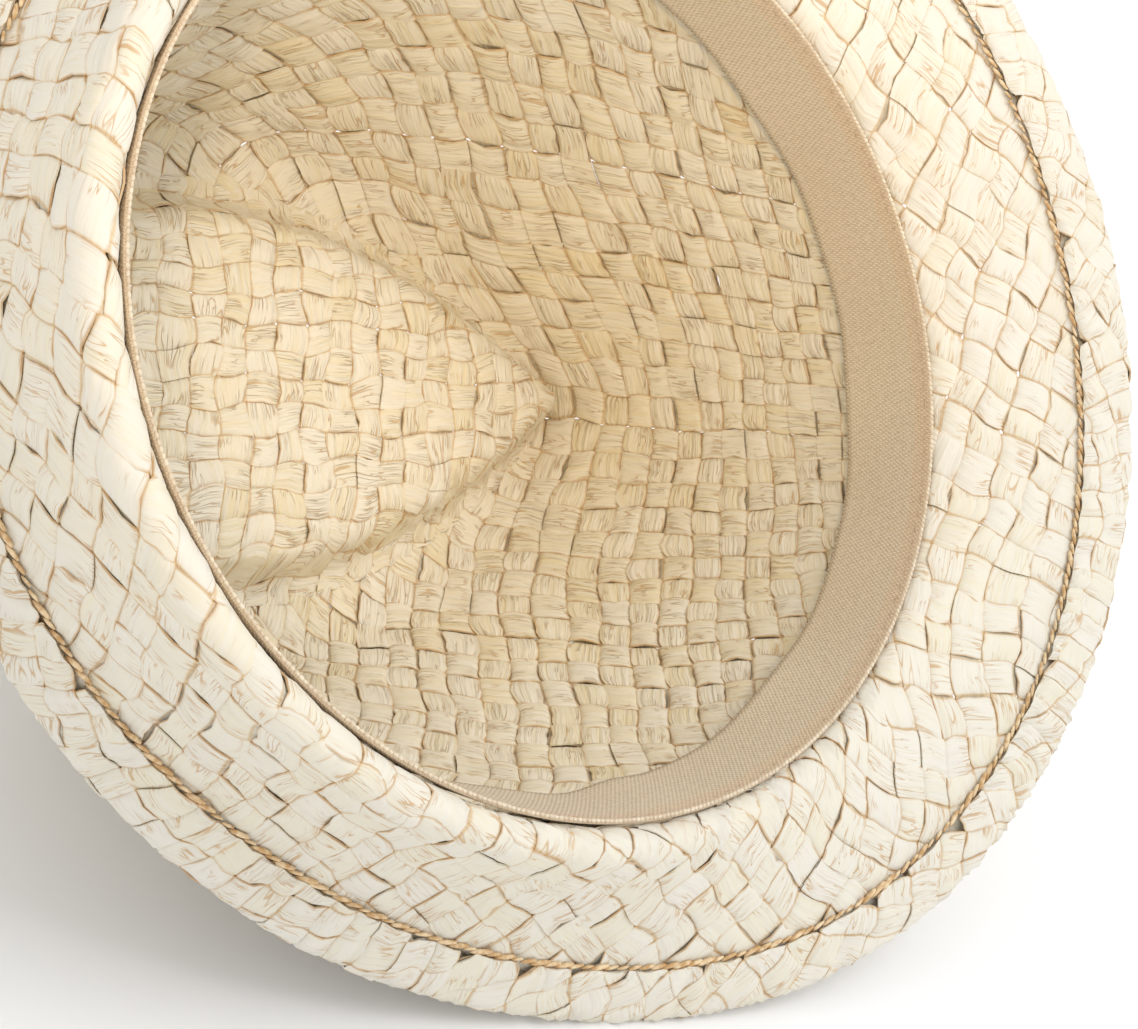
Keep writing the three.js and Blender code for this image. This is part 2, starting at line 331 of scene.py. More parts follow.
@dataclass
class Skin:
    """A surface that is woven, read by two coordinates, and the two counts of strips on it.

    Args:
        middle: Gives points of the hat's own frame from the two coordinates.
        counts: Gives the number of strips passed in each family, fractions allowed.
        span: Lowest and highest value of each coordinate.
        limits: Gives the lowest and highest second coordinate at a first one.
        samples: How many places are tried in each direction to find the crossings.
        round_shift: What the two counts gain when the first coordinate goes once round.
        inner: One where the surface's own normal points to the head, minus one otherwise.
        is_round: Whether the first coordinate comes back to where it began.
    """

    middle: Callable[[Points, Points], Points]
    counts: Callable[[Points, Points], tuple[Points, Points]]
    span: tuple[float, float, float, float]
    limits: Callable[[Points], tuple[Points, Points]]
    samples: tuple[int, int]
    round_shift: tuple[int, int] = (0, 0)
    inner: float = 1.0
    is_round: bool = True

    def locate(self, first: Points, second: Points, p: Points, q: Points) -> Pair:
        """Finds where the counts have the values asked for.

        Args:
            first: Counts wanted in the first family.
            second: Counts wanted in the second family.
            p: A first guess of the first coordinate.
            q: A first guess of the second coordinate.

        Returns:
            Both coordinates.
        """
        step_p = (self.span[1] - self.span[0]) * 2e-4
        step_q = (self.span[3] - self.span[2]) * 2e-4
        for _ in range(5):
            a, b = self.counts(p, q)
            a_p, b_p = self.counts(p + step_p, q)
            a_q, b_q = self.counts(p, q + step_q)
            a_p, b_p = (a_p - a) / step_p, (b_p - b) / step_p
            a_q, b_q = (a_q - a) / step_q, (b_q - b) / step_q
            area = a_p * b_q - a_q * b_p
            area = np.where(np.abs(area) < 1e-9, 1e-9, area)
            miss_a, miss_b = first - a, second - b
            move_p = (miss_a * b_q - miss_b * a_q) / area
            move_q = (miss_b * a_p - miss_a * b_p) / area
            most_p = (self.span[1] - self.span[0]) * 0.03
            most_q = (self.span[3] - self.span[2]) * 0.12
            p = p + np.clip(move_p, -most_p, most_p)
            q = q + np.clip(move_q, -most_q, most_q)
        return p, q

    def crossings(self) -> tuple[Points, Points, Points, Points]:
        """Finds every crossing of two strips on the surface.

        Returns:
            The two counts of each crossing and its two coordinates.
        """
        p_line = np.linspace(self.span[0], self.span[1], self.samples[0], endpoint=not self.is_round)
        q_line = np.linspace(self.span[2], self.span[3], self.samples[1])
        p, q = (grid.ravel() for grid in np.meshgrid(p_line, q_line, indexing="ij"))
        a, b = self.counts(p, q)
        keys = np.stack([np.round(a), np.round(b)], axis=1).astype(int)
        near = np.hypot(a - keys[:, 0], b - keys[:, 1])
        order = np.lexsort((near, keys[:, 1], keys[:, 0]))
        keys, p, q = keys[order], p[order], q[order]
        first = np.ones(len(keys), bool)
        first[1:] = (keys[1:] != keys[:-1]).any(axis=1)
        keys, p, q = keys[first], p[first], q[first]
        p, q = self.locate(keys[:, 0].astype(float), keys[:, 1].astype(float), p, q)
        a, b = self.counts(p, q)
        if self.is_round and self.round_shift == (0, 0):
            p = self.span[0] + (p - self.span[0]) % (self.span[1] - self.span[0])
        low, high = self.limits(p)
        kept = np.hypot(a - keys[:, 0], b - keys[:, 1]) < 0.02
        reach = (self.span[3] - self.span[2]) * 0.15
        kept &= (q > low - reach) & (q < high + reach)
        if self.is_round:
            kept &= (p >= self.span[0]) & (p < self.span[1])
        return keys[kept, 0], keys[kept, 1], p[kept], q[kept]

    def lifted(self, p: Points, q: Points, height: Points) -> Points:
        """Returns points moved off the surface towards the head, in metres on the floor."""
        step_p = (self.span[1] - self.span[0]) * 1e-4
        step_q = (self.span[3] - self.span[2]) * 1e-4
        middle = self.middle(p, q)
        along = self.middle(p + step_p, q) - self.middle(p - step_p, q)
        across = self.middle(p, q + step_q) - self.middle(p, q - step_q)
        normal = unit(np.cross(along, across)) * self.inner
        return FORM.on_floor(middle + normal * height[..., None])


class Series(IntEnum):
    """Which series of random numbers each kind of unevenness reads."""

    WIDTH = 1
    CROSSING_WIDTH = 2
    WANDER = 3
    CROSSING_WANDER = 4
    FULLNESS = 5
    TILT = 6
    CREASE = 7
    STRIP_CREASE = 8
    LEAN = 9
    STRIP_TONE = 11
    CROSSING_TONE = 12
    FRAY = 20
    FLOAT = 40
    ACROSS = 50


def per(values: Points) -> Points:
    """Spreads one value for each crossing over its grid of rows and columns."""
    return np.asarray(values, float)[:, None, None]


@dataclass
class StripGrid:
    """One family's ribbons, as a grid for each crossing: rows along the strip, columns across.

    Args:
        cut: How the strips are cut.
        is_along: Whether these are the first family's strips.
        first: The first family's count at each crossing.
        second: The second family's count at each crossing.
        shift: What this family's count gains when the surface goes once round.
    """

    cut: StripCut
    is_along: bool
    first: Points
    second: Points
    shift: int

    def __post_init__(self) -> None:
        """Works out the grids that every step reads."""
        both = (self.first, self.second)
        self.own, self.other = both if self.is_along else both[::-1]
        self.strip = per(self.own % abs(self.shift) if self.shift else self.own)
        columns = np.linspace(-1, 1, self.cut.columns + 1)
        shape = (len(self.own), len(self.cut.rows), len(columns))
        grids = np.meshgrid(np.array(self.cut.rows), columns, indexing="ij")
        self.f, self.c = (np.broadcast_to(grid, shape) for grid in grids)
        self.row, self.column = np.indices(shape)[1:]
        self.window = np.cos(math.pi * self.f) ** 2

    def noise(self, series: Series, *keys: Points) -> Points:
        """Gives random numbers from -1 to 1.

        Args:
            series: What the numbers are for.
            keys: What each number belongs to. A crossing, if left out.

        Returns:
            One number for each set of keys.
        """
        salt = self.cut.seed + (0 if self.is_along else Series.ACROSS)
        return fold_noise(salt + series, *(keys or (per(self.first), per(self.second))))

    def height(self, swap: Points) -> Points:
        """Works out how the strips go over and under each other.

        Args:
            swap: Minus one at the crossings whose order is turned round, else one.

        Returns:
            One where a strip lies nearest the head, minus one where it lies farthest.
        """
        parity = per(np.where((self.first + self.second) % 2 == 0, 1.0, -1.0))
        parity = parity if self.is_along else -parity
        turn = np.clip((np.abs(self.f) - self.cut.flat_half) / self.cut.turn_length, 0, 1) ** 2
        return parity * per(swap) * (1 - turn / 2) - parity * turn / 2

    def counts(self, height: Points) -> Pair:
        """Works out where the strips run.

        Args:
            height: How they go over and under each other.

        Returns:
            Both families' counts at each point of the grids.
        """
        cut, c, window = self.cut, self.c, self.window
        order = 0 if self.is_along else 1
        width = 1 + 0.5 * cut.uneven * self.noise(Series.WIDTH, self.strip)
        width = width + window * cut.uneven * self.noise(Series.CROSSING_WIDTH)
        width = width * (1 - cut.pinch[order] * (1 - np.abs(height))) * cut.cover[order]
        wander = 0.8 * cut.uneven * self.noise(Series.WANDER, self.strip)
        wander = wander + window * 0.8 * cut.uneven * self.noise(Series.CROSSING_WANDER)
        frayed = self.noise(Series.FRAY, per(self.first), per(self.second), self.row, np.sign(c))
        wander = wander + 0.4 * cut.uneven * frayed * c**2 * window
        own = per(self.own) + wander + c * width / 2
        other = per(self.other) + self.f + window * cut.lean * self.noise(Series.LEAN) * c
        return (own, other) if self.is_along else (other, own)

    def rise(self, height: Points, lift: float) -> Points:
        """Works out how far off the surface the strips lie.

        Args:
            height: How they go over and under each other.
            lift: Millimetres that the whole weave is moved towards the head.

        Returns:
            Millimetres from the surface to the strips' middle.
        """
        cut, c, window = self.cut, self.c, self.window
        is_inside = np.abs(c) < 0.99
        fullness = 0.8 + 0.5 * self.noise(Series.FULLNESS)
        rise = height * cut.depth + lift
        rise = rise + cut.bulge * height * (1 - c**2) * fullness
        rise = rise - cut.curl * height * np.abs(c) ** 4
        rise = rise + window * cut.tilt * c * self.noise(Series.TILT)
        crease = self.noise(Series.CREASE, per(self.first), per(self.second), self.column)
        rise = rise + cut.crease * crease * window * is_inside
        return rise + 0.6 * cut.crease * self.noise(Series.STRIP_CREASE, self.strip, self.column) * is_inside


@dataclass
class Weave:
    """Flat strips that pass over and under each other on a skin."""

    name: str
    skin: Skin
    cut: StripCut
    lift: float = 0.0

    def strips(self, family: Family) -> bpy.types.Object:
        """Builds all strips of one family as thin closed ribbons.

        Args:
            family: Which of the two sets of strips.

        Returns:
            The piece.
        """
        cut, skin = self.cut, self.skin
        first, second, p_mid, q_mid = skin.crossings()
        is_along = family is Family.ALONG
        grid = StripGrid(cut, is_along, first, second, skin.round_shift[0 if is_along else 1])
        height = grid.height(self.swaps(first, second, p_mid))
        counts = grid.counts(height)
        guess = (np.broadcast_to(per(mid), height.shape).copy() for mid in (p_mid, q_mid))
        p, q = skin.locate(*counts, *guess)
        q, is_piece = self.trim(p, q, counts)
        rise = grid.rise(height, self.lift)
        top = skin.lifted(p, q, rise + cut.thickness / 2)
        under = skin.lifted(p, q, rise - cut.thickness / 2)
        marks = {
            "strip_tone": np.broadcast_to(grid.noise(Series.STRIP_TONE, grid.strip), height.shape),
            "crossing_tone": np.broadcast_to(grid.noise(Series.CROSSING_TONE), height.shape),
            "height": height,
            "edge": np.abs(grid.c),
        }
        along = (per(grid.other) + grid.f + 7 * grid.strip) * cut.pitch
        across = grid.c * cut.pitch / 2
        ribbons = RibbonMesh(f"{self.name}_{family.value}")
        return ribbons.build(top, under, is_piece, marks, (along, across))

    def trim(self, p: Points, q: Points, counts: Pair) -> Pair:
        """Cuts the strips off at the skin's edges.

        Args:
            p: The first coordinate of each point of the grids.
            q: The second coordinate.
            counts: The counts wanted there.

        Returns:
            The second coordinate, held within the edges, and the stretches between two rows to keep.
        """
        low, high = self.skin.limits(p)
        found = self.skin.counts(p, q)
        is_missed = np.hypot(found[0] - counts[0], found[1] - counts[1]) > 0.1
        is_bare = low > high
        is_row = ~((q < low) | (q > high)).all(axis=2)
        is_lost = is_bare.any(axis=2) | is_missed.any(axis=2)
        is_piece = (is_row[:, :-1] | is_row[:, 1:]) & ~(is_lost[:, :-1] | is_lost[:, 1:])
        return np.where(is_bare, q, np.clip(q, low, high)), is_piece

    def swaps(self, first: Points, second: Points, p: Points) -> Points:
        """Picks the few crossings where a strip passes over two others."""
        is_picked = fold_noise(self.cut.seed + Series.FLOAT, first, second) > 1 - 2 * self.cut.floats
        start, end = self.skin.span[:2]
        margin = 0.05 * (end - start)
        is_far = (p > start + margin) & (p < end - margin)
        return np.where(is_picked & is_far, -1.0, 1.0)


@dataclass
class RibbonMesh:
    """Turns grids of ribbon points into one mesh of closed thin ribbons."""

    name: str
    merge_mm: float = 0.004
    cap_mm: float = 0.5

    def build(
        self,
        top: Points,
        under: Points,
        is_piece: Points,
        marks: dict[str, Points],
        places: tuple[Points, Points],
    ) -> bpy.types.Object:
        """Builds the mesh.

        Args:
            top: Points of the side nearer the head, for each crossing, row and column.
            under: Points of the other side.
            is_piece: Which stretches between two rows are there.
            marks: Values that the material reads, in the shape of the points.
            places: Millimetres along and across the strip.

        Returns:
            The object, at the origin.
        """
        cells, rows, columns = top.shape[:3]
        count = cells * rows * columns
        points = np.concatenate([top.reshape(-1, 3), under.reshape(-1, 3)])
        ids = np.arange(count).reshape(cells, rows, columns)
        low = ids + count
        there = is_piece[:, :, None] & np.ones((1, 1, columns - 1), bool)
        a, b = ids[:, :-1, :-1], ids[:, :-1, 1:]
        c, d = ids[:, 1:, 1:], ids[:, 1:, :-1]
        quads = [np.stack([a, b, c, d], -1)[there]]
        quads.append(np.stack([a + count, d + count, c + count, b + count], -1)[there])
        for column, is_first in ((0, True), (columns - 1, False)):
            near, far = ids[:, :-1, column], ids[:, 1:, column]
            near_low, far_low = low[:, :-1, column], low[:, 1:, column]
            loop = [near, far, far_low, near_low] if is_first else [near, near_low, far_low, far]
            quads.append(np.stack(loop, -1)[is_piece])
        faces = np.concatenate(quads)
        merged, back = self.merge(points)
        faces = back[faces]
        faces = faces[self.is_open_face(merged, faces)]
        faces = np.concatenate([faces, self.caps(faces, merged)])
        first_seen = np.zeros(len(merged), int)
        first_seen[back] = np.arange(len(points))
        used, faces = np.unique(faces, return_inverse=True)
        faces = faces.reshape(-1, 4)
        first_seen = first_seen[used]
        mesh = self.mesh(merged[used], faces)
        for name, values in marks.items():
            both = np.concatenate([values.reshape(-1)] * 2)
            layer = mesh.attributes.new(name, "FLOAT", "POINT")
            layer.data.foreach_set("value", both[first_seen].astype(np.float32))
        along = np.concatenate([places[0].reshape(-1)] * 2)[first_seen]
        across = np.concatenate([places[1].reshape(-1)] * 2)[first_seen]
        corners = np.empty(len(mesh.loops), int)
        mesh.loops.foreach_get("vertex_index", corners)
        layer = mesh.uv_layers.new(name="strip")
        flat = np.stack([along[corners], across[corners]], axis=1) * MM
        layer.data.foreach_set("uv", flat.ravel().astype(np.float32))
        return stand(self.name, mesh)

    def merge(self, points: Points) -> Pair:
        """Joins points that lie closer than the merging width."""
        keys = np.round(points / (self.merge_mm * MM)).astype(np.int64)
        _, first, back = np.unique(keys, axis=0, return_index=True, return_inverse=True)
        return points[first], back.reshape(-1)

    def is_open_face(self, points: Points, faces: Points) -> Points:
        """Tells which faces have four different corners."""
        kept = np.ones(len(faces), bool)
        for i in range(4):
            for j in range(i):
                kept &= faces[:, i] != faces[:, j]
        return kept

    def caps(self, faces: Points, points: Points) -> Points:
        """Closes the cut ends of the ribbons.

        Args:
            faces: The ribbons' faces so far.
            points: The mesh's points.

        Returns:
            One face for each pair of end edges, top and under.
        """
        edges = np.concatenate([faces[:, [k, (k + 1) % 4]] for k in range(4)])
        code = np.sort(edges, axis=1)
        size = len(points)
        key = code[:, 0].astype(np.int64) * size + code[:, 1]
        _, index, uses = np.unique(key, return_index=True, return_counts=True)
        loose = edges[index[uses == 1]]
        if not len(loose):
            return np.zeros((0, 4), int)
        middle = (points[loose[:, 0]] + points[loose[:, 1]]) / 2
        return self.pair_loose(loose, middle)

    def pair_loose(self, loose: Points, middle: Points) -> Points:
        """Pairs each loose edge with the one across the ribbon's thickness."""
        order = np.lexsort((middle[:, 2], middle[:, 1], middle[:, 0]))
        loose, middle = loose[order], middle[order]
        widest = self.cap_mm * MM
        caps = []
        used = np.zeros(len(loose), bool)
        for i in range(len(loose)):
            if used[i]:
                continue
            stop = i + 1
            while stop < len(loose) and middle[stop, 0] - middle[i, 0] < widest:
                stop += 1
            gap = np.linalg.norm(middle[i + 1 : stop] - middle[i], axis=1)
            gap = np.where(used[i + 1 : stop], 1.0, gap)
            if not len(gap) or gap.min() > widest:
                continue
            j = i + 1 + int(gap.argmin())
            used[i] = used[j] = True
            caps.append([loose[i][1], loose[i][0], loose[j][1], loose[j][0]])
        return np.array(caps, int).reshape(-1, 4)

    def mesh(self, points: Points, faces: Points) -> bpy.types.Mesh:
        """Makes a smooth mesh with crisp strip edges."""
        mesh = bpy.data.meshes.new(self.name)
        mesh.vertices.add(len(points))
        mesh.vertices.foreach_set("co", points.ravel().astype(np.float32))
        mesh.loops.add(len(faces) * 4)
        mesh.loops.foreach_set("vertex_index", faces.ravel().astype(np.int32))
        mesh.polygons.add(len(faces))
        mesh.polygons.foreach_set("loop_start", (np.arange(len(faces)) * 4).astype(np.int32))
        mesh.polygons.foreach_set("use_smooth", np.ones(len(faces), bool))
        mesh.update(calc_edges=True)
        mesh.validate()
        mesh.set_sharp_from_angle(angle=math.radians(45))
        return mesh


@dataclass
class CrownWall:
    """The crown's wall, whose strips run level and upright to someone who looks into the hat."""

    level_turn: float = 106.0
    turn_rate: float = 0.9
    pitch: float = 7.0
    visible: tuple[float, float] = (-60.0, 80.0)
    crest_weight: float = 0.02
    bent_below: float = 4.8
    top_place: float = 6.5
    waves: int = 6
    bends: int = 4
    shift: tuple[int, int] = (0, 0)
    weights: tuple[Points, Points] | None = None
    around_steps: int = 1440
    place_step: float = 0.05
    open_angles: tuple[float, float] = (62.0, 82.0)
    fit_steps: tuple[int, int] = (96, 24)
    crest_place: float = 6.15
    ripples: tuple[tuple[tuple[float, ...], ...], ...] = (
        ((0.07, 12.0, 3.1, 0.0), (0.05, -17.0, 4.6, 1.0)),
        ((0.07, 11.0, -4.2, 2.0), (0.05, 19.0, 2.9, 0.0)),
    )
    points: Points | None = None

    def measure(self) -> None:
        """Reads the wall at even steps round each of its rings, from the front."""
        angle = np.linspace(0, TURN, 5761)
        places = np.arange(0, self.top_place + 0.31, self.place_step)
        even = np.arange(self.around_steps) / self.around_steps
        rings = []
        for place in places:
            ring = FORM.crown_middle(angle, np.full_like(angle, place))
            way = np.concatenate([[0.0], np.cumsum(np.linalg.norm(np.diff(ring, axis=0), axis=1))])
            way = way / way[-1]
            rings.append(np.stack([np.interp(even, way, ring[:, axis]) for axis in range(3)], axis=-1))
        self.points = np.stack(rings)

    def middle(self, around: Points, place: Points) -> Points:
        """Returns the middle of the wall's straw.

        Args:
            around: How far round the ring from the front, where once round is two pi.
            place: The place in the table of rings.

        Returns:
            Points of the hat's own frame.
        """
        i = np.clip(place / self.place_step, 0, len(self.points) - 1.001)
        j = (around / TURN * self.around_steps) % self.around_steps
        i0, j0 = np.floor(i).astype(int), np.floor(j).astype(int) % self.around_steps
        j1 = (j0 + 1) % self.around_steps
        fi, fj = (i - i0)[..., None], (j - np.floor(j))[..., None]
        low = self.points[i0, j0] * (1 - fj) + self.points[i0, j1] * fj
        high = self.points[i0 + 1, j0] * (1 - fj) + self.points[i0 + 1, j1] * fj
        return low * (1 - fi) + high * fi

    def turns(self, angle: Points) -> Pair:
        """Gives the way each family runs.

        Args:
            angle: Radians round the head from the front.

        Returns:
            For each family, radians from the level way round towards the tip.
        """
        degrees = np.degrees(angle)
        start, end = self.visible
        along = (degrees - start) % 360
        seen = end - start
        hidden = np.clip((along - seen) / (360 - seen), 0, 1)
        first_turn = self.level_turn - self.turn_rate * (start + np.minimum(along, seen))
        first_turn = first_turn + self.turn_rate * hidden * seen
        least, most = self.open_angles
        open_angle = least + (most - least) / (1 + np.exp(-(start + along) / 8))
        open_angle = np.where(along > seen, most - (most - least) * hidden, open_angle)
        return np.radians(first_turn), np.radians(first_turn + open_angle)

    def basis(self, angle: Points, place: Points) -> Points:
        """Lists the waves round the head and the bends up the wall that the counts are made of."""
        t = place / self.top_place
        columns = []
        for bend in range(self.bends + 1):
            columns.append(t**bend)
            for wave in range(1, self.waves + 1):
                columns.append(np.cos(wave * angle) * t**bend)
                columns.append(np.sin(wave * angle) * t**bend)
        return np.stack(columns, axis=-1)

    def fit(self, tip: "CrownTip") -> None:
        """Finds the counts whose strips run the right ways at an even pitch.

        Args:
            tip: The tip, whose strips go on down the wall.
        """
        angle, place = (
            grid.ravel()
            for grid in np.meshgrid(
                np.linspace(0, TURN, self.fit_steps[0], endpoint=False),
                np.linspace(0.03, self.top_place, self.fit_steps[1]),
                indexing="ij",
            )
        )
        step = 0.02
        around = (self.middle(angle + step, place) - self.middle(angle - step, place)) / (2 * step)
        up = (self.middle(angle, place + step) - self.middle(angle, place - step)) / (2 * step)
        level = unit(around)
        normal = unit(np.cross(around, up))
        tipward = np.cross(normal, level)
        by_angle = (self.basis(angle + step, place) - self.basis(angle - step, place)) / (2 * step)
        by_place = (self.basis(angle, place + step) - self.basis(angle, place - step)) / (2 * step)
        turns = self.turns(angle)
        length = np.linalg.norm(around, axis=-1)
        rise = np.maximum(np.linalg.norm(up, axis=-1), 1.0)
        weights = []
        shifts = []
        for family in (0, 1):
            own, other = turns[family], turns[1 - family]
            sign = -1.0 if family == 0 else 1.0
            slope = np.stack([-np.sin(own), np.cos(own)], axis=-1) * sign
            gradient = (level * slope[:, :1] + tipward * slope[:, 1:]) / self.pitch
            want_angle = (gradient * around).sum(-1)
            want_place = (gradient * up).sum(-1)
            rows = [by_angle / length[:, None], by_place / rise[:, None]]
            linear = [1 / TURN / length, np.zeros_like(length)]
            wanted = [want_angle / length, want_place / rise]
            edge_angle = np.radians(np.arange(self.visible[0], self.visible[1], 2.5))
            edge_place = np.full_like(edge_angle, self.crest_place)
            edge = self.middle(edge_angle, edge_place)
            tip_counts = tip.counts(edge[:, 0], edge[:, 1])[family]
            rows.append(self.basis(edge_angle, edge_place) * self.crest_weight)
            linear.append(edge_angle / TURN * self.crest_weight)
            wanted.append(tip_counts * self.crest_weight)
            design = np.concatenate(rows)
            straight = np.concatenate(linear)
            target = np.concatenate(wanted)
            free = np.concatenate([design, straight[:, None]], axis=1)
            found = np.linalg.lstsq(free, target, rcond=None)[0]
            shifts.append(found[-1])
            weights.append((design, straight, target))
        first = round(shifts[0])
        second = round(shifts[1])
        if (first + second) % 2:
            second += 1 if shifts[1] > second else -1
        self.shift = (first, second)
        LOG.info("wall strips gained in one turn: %s from %s", self.shift, np.round(shifts, 2))
        self.weights = tuple(
            np.linalg.lstsq(design, target - straight * shift, rcond=None)[0]
            for (design, straight, target), shift in zip(weights, self.shift)
        )

    def counts(self, angle: Points, place: Points) -> Pair:
        """Returns how many strips of each family have been passed."""
        basis = self.basis(angle, place)
        up = np.minimum(place, self.bent_below)
        return tuple(
            basis @ weights + angle / TURN * shift + rippled(0.0, angle, up, waves)
            for weights, shift, waves in zip(self.weights, self.shift, self.ripples)
        )

    def limits(self, angle: Points) -> Pair:
        """Returns the lowest and highest place of the wall's strips."""
        return np.full_like(angle, 0.02), np.full_like(angle, self.top_place)

    def skin(self) -> Skin:
        """Returns the wall as a surface to weave on."""
        start = math.radians(self.visible[1] + 40)
        span = (start, start + TURN, 0.0, self.top_place)
        return Skin(self.middle, self.counts, span, self.limits, (400, 90), self.shift, -1.0)


@dataclass
class CrownTip:
    """The dented tip, woven flat."""

    level_turn: float = -1.0
    upright_turn: float = 96.0
    level_pitch: float = 6.0
    upright_pitch: float = 7.0
    lowest_place: float = 5.9
    cell: float = 1.5
    heights: Points | None = None
    places: Points | None = None
    table: tuple[Points, Points] | None = None
    corner: tuple[float, float] = (-100.0, -70.0)
    area: tuple[float, float] = (210.0, 140.0)
    margin: float = 2.0
    ripples: tuple[tuple[tuple[float, ...], ...], ...] = (
        ((0.8, 0.23, 0.17, 0.0), (0.5, -0.19, 0.41, 1.0)),
        ((0.8, -0.15, 0.21, 2.0), (0.5, 0.39, 0.22, 0.0)),
    )

    def measure(self) -> None:
        """Reads the tip's height and its place in the rings on a square grid in plan."""
        angle, place = (
            grid.ravel()
            for grid in np.meshgrid(
                np.linspace(0, TURN, 1440, endpoint=False),
                np.linspace(self.lowest_place, 10.0, 300),
                indexing="ij",
            )
        )
        points = FORM.crown_middle(angle, place)
        last = CROWN_RINGS[-1]
        middle = np.array([last[1] * FORM.head_length / 2, -FORM.crown_lean * last[0]])
        inner = np.linspace(0, 1, 40)[None, :, None]
        rim_angle = np.linspace(0, TURN, 240, endpoint=False)
        rim = FORM.crown_middle(rim_angle, np.full_like(rim_angle, 10.0))[:, None, :]
        centre = np.array([middle[0], middle[1], rim[..., 2].mean()])
        patch = (centre + (rim - centre) * inner).reshape(-1, 3)
        points = np.concatenate([points, patch])
        place = np.concatenate([place, np.full(len(patch), 10.0)])
        size = tuple(int(length / self.cell) for length in self.area)
        i = (points[:, 0] - self.corner[0]) / self.cell
        j = (points[:, 1] - self.corner[1]) / self.cell
        total = np.zeros(size)
        height = np.zeros(size)
        ring = np.zeros(size)
        for di in (0, 1):
            for dj in (0, 1):
                near_i = np.floor(i).astype(int) + di
                near_j = np.floor(j).astype(int) + dj
                share = np.maximum(0, 1 - np.abs(i - near_i)) * np.maximum(0, 1 - np.abs(j - near_j))
                inside = (near_i >= 0) & (near_i < size[0]) & (near_j >= 0) & (near_j < size[1])
                at = (near_i[inside], near_j[inside])
                np.add.at(total, at, share[inside])
                np.add.at(height, at, share[inside] * points[inside, 2])
                np.add.at(ring, at, share[inside] * place[inside])
        filled = total > 1e-3
        self.places = np.where(filled, ring / np.maximum(total, 1e-3), 0.0)
        self.heights = self.spread(np.where(filled, height / np.maximum(total, 1e-3), 0.0), filled)

    def spread(self, heights: Points, filled: Points) -> Points:
        """Carries the heights on past the tip's outline, so that its edge reads true."""
        for _ in range(6):
            around = np.zeros_like(heights)
            count = np.zeros_like(heights)
            for step, axis in ((1, 0), (-1, 0), (1, 1), (-1, 1)):
                around += np.roll(np.where(filled, heights, 0.0), step, axis)
                count += np.roll(filled, step, axis)
            is_new = ~filled & (count > 0)
            heights = np.where(is_new, around / np.maximum(count, 1), heights)
            filled = filled | is_new
        return np.where(filled, heights, heights[filled].mean())

    def read(self, grid: Points, x: Points, y: Points) -> Points:
        """Reads a grid between its points."""
        i = np.clip((x - self.corner[0]) / self.cell, 0, grid.shape[0] - 1.001)
        j = np.clip((y - self.corner[1]) / self.cell, 0, grid.shape[1] - 1.001)
        i0, j0 = np.floor(i).astype(int), np.floor(j).astype(int)
        fi, fj = i - i0, j - j0
        return (
            grid[i0, j0] * (1 - fi) * (1 - fj)
            + grid[i0 + 1, j0] * fi * (1 - fj)
            + grid[i0, j0 + 1] * (1 - fi) * fj
            + grid[i0 + 1, j0 + 1] * fi * fj
        )

    def middle(self, x: Points, y: Points) -> Points:
        """Returns the tip's point above a place in plan."""
        return np.stack([x, y, self.read(self.heights, x, y)], axis=-1)

    def counts(self, x: Points, y: Points) -> Pair:
        """Returns how many strips of each family have been passed."""
        found = []
        ways = ((self.level_turn, self.level_pitch), (self.upright_turn, -self.upright_pitch))
        bent_x = rippled(x, x, y, self.ripples[0])
        bent_y = rippled(y, x, y, self.ripples[1])
        for turn, pitch in ways:
            way = math.radians(turn)
            found.append((-math.sin(way) * bent_x + math.cos(way) * bent_y) / pitch)
        return tuple(found)

    def edges(self, x: Points) -> Pair:
        """Returns how far the tip's strips go to each side of the hat."""
        y = np.linspace(self.corner[1] + 1, self.corner[1] + self.area[1] - self.margin, 400)
        ring = self.read(self.places, np.broadcast_to(x[..., None], x.shape + y.shape), y)
        inside = ring > self.lowest_place / 2
        first = inside.argmax(axis=-1)
        last = inside.shape[-1] - 1 - inside[..., ::-1].argmax(axis=-1)
        has = inside.any(axis=-1)
        return np.where(has, y[first], 1e3), np.where(has, y[last], -1e3)

    def limits(self, x: Points) -> Pair:
        """Returns the tip's two edges, read from a table made once."""
        line = np.linspace(self.corner[0], self.corner[0] + self.area[0] - self.margin, 600)
        if self.table is None:
            self.table = self.edges(line)
        return np.interp(x, line, self.table[0]), np.interp(x, line, self.table[1])

    def skin(self) -> Skin:
        """Returns the tip as a surface to weave on."""
        far = [start + length - self.margin for start, length in zip(self.corner, self.area)]
        span = (self.corner[0], far[0], self.corner[1], far[1])
        return Skin(self.middle, self.counts, span, self.limits, (280, 190), (0, 0), -1.0, False)


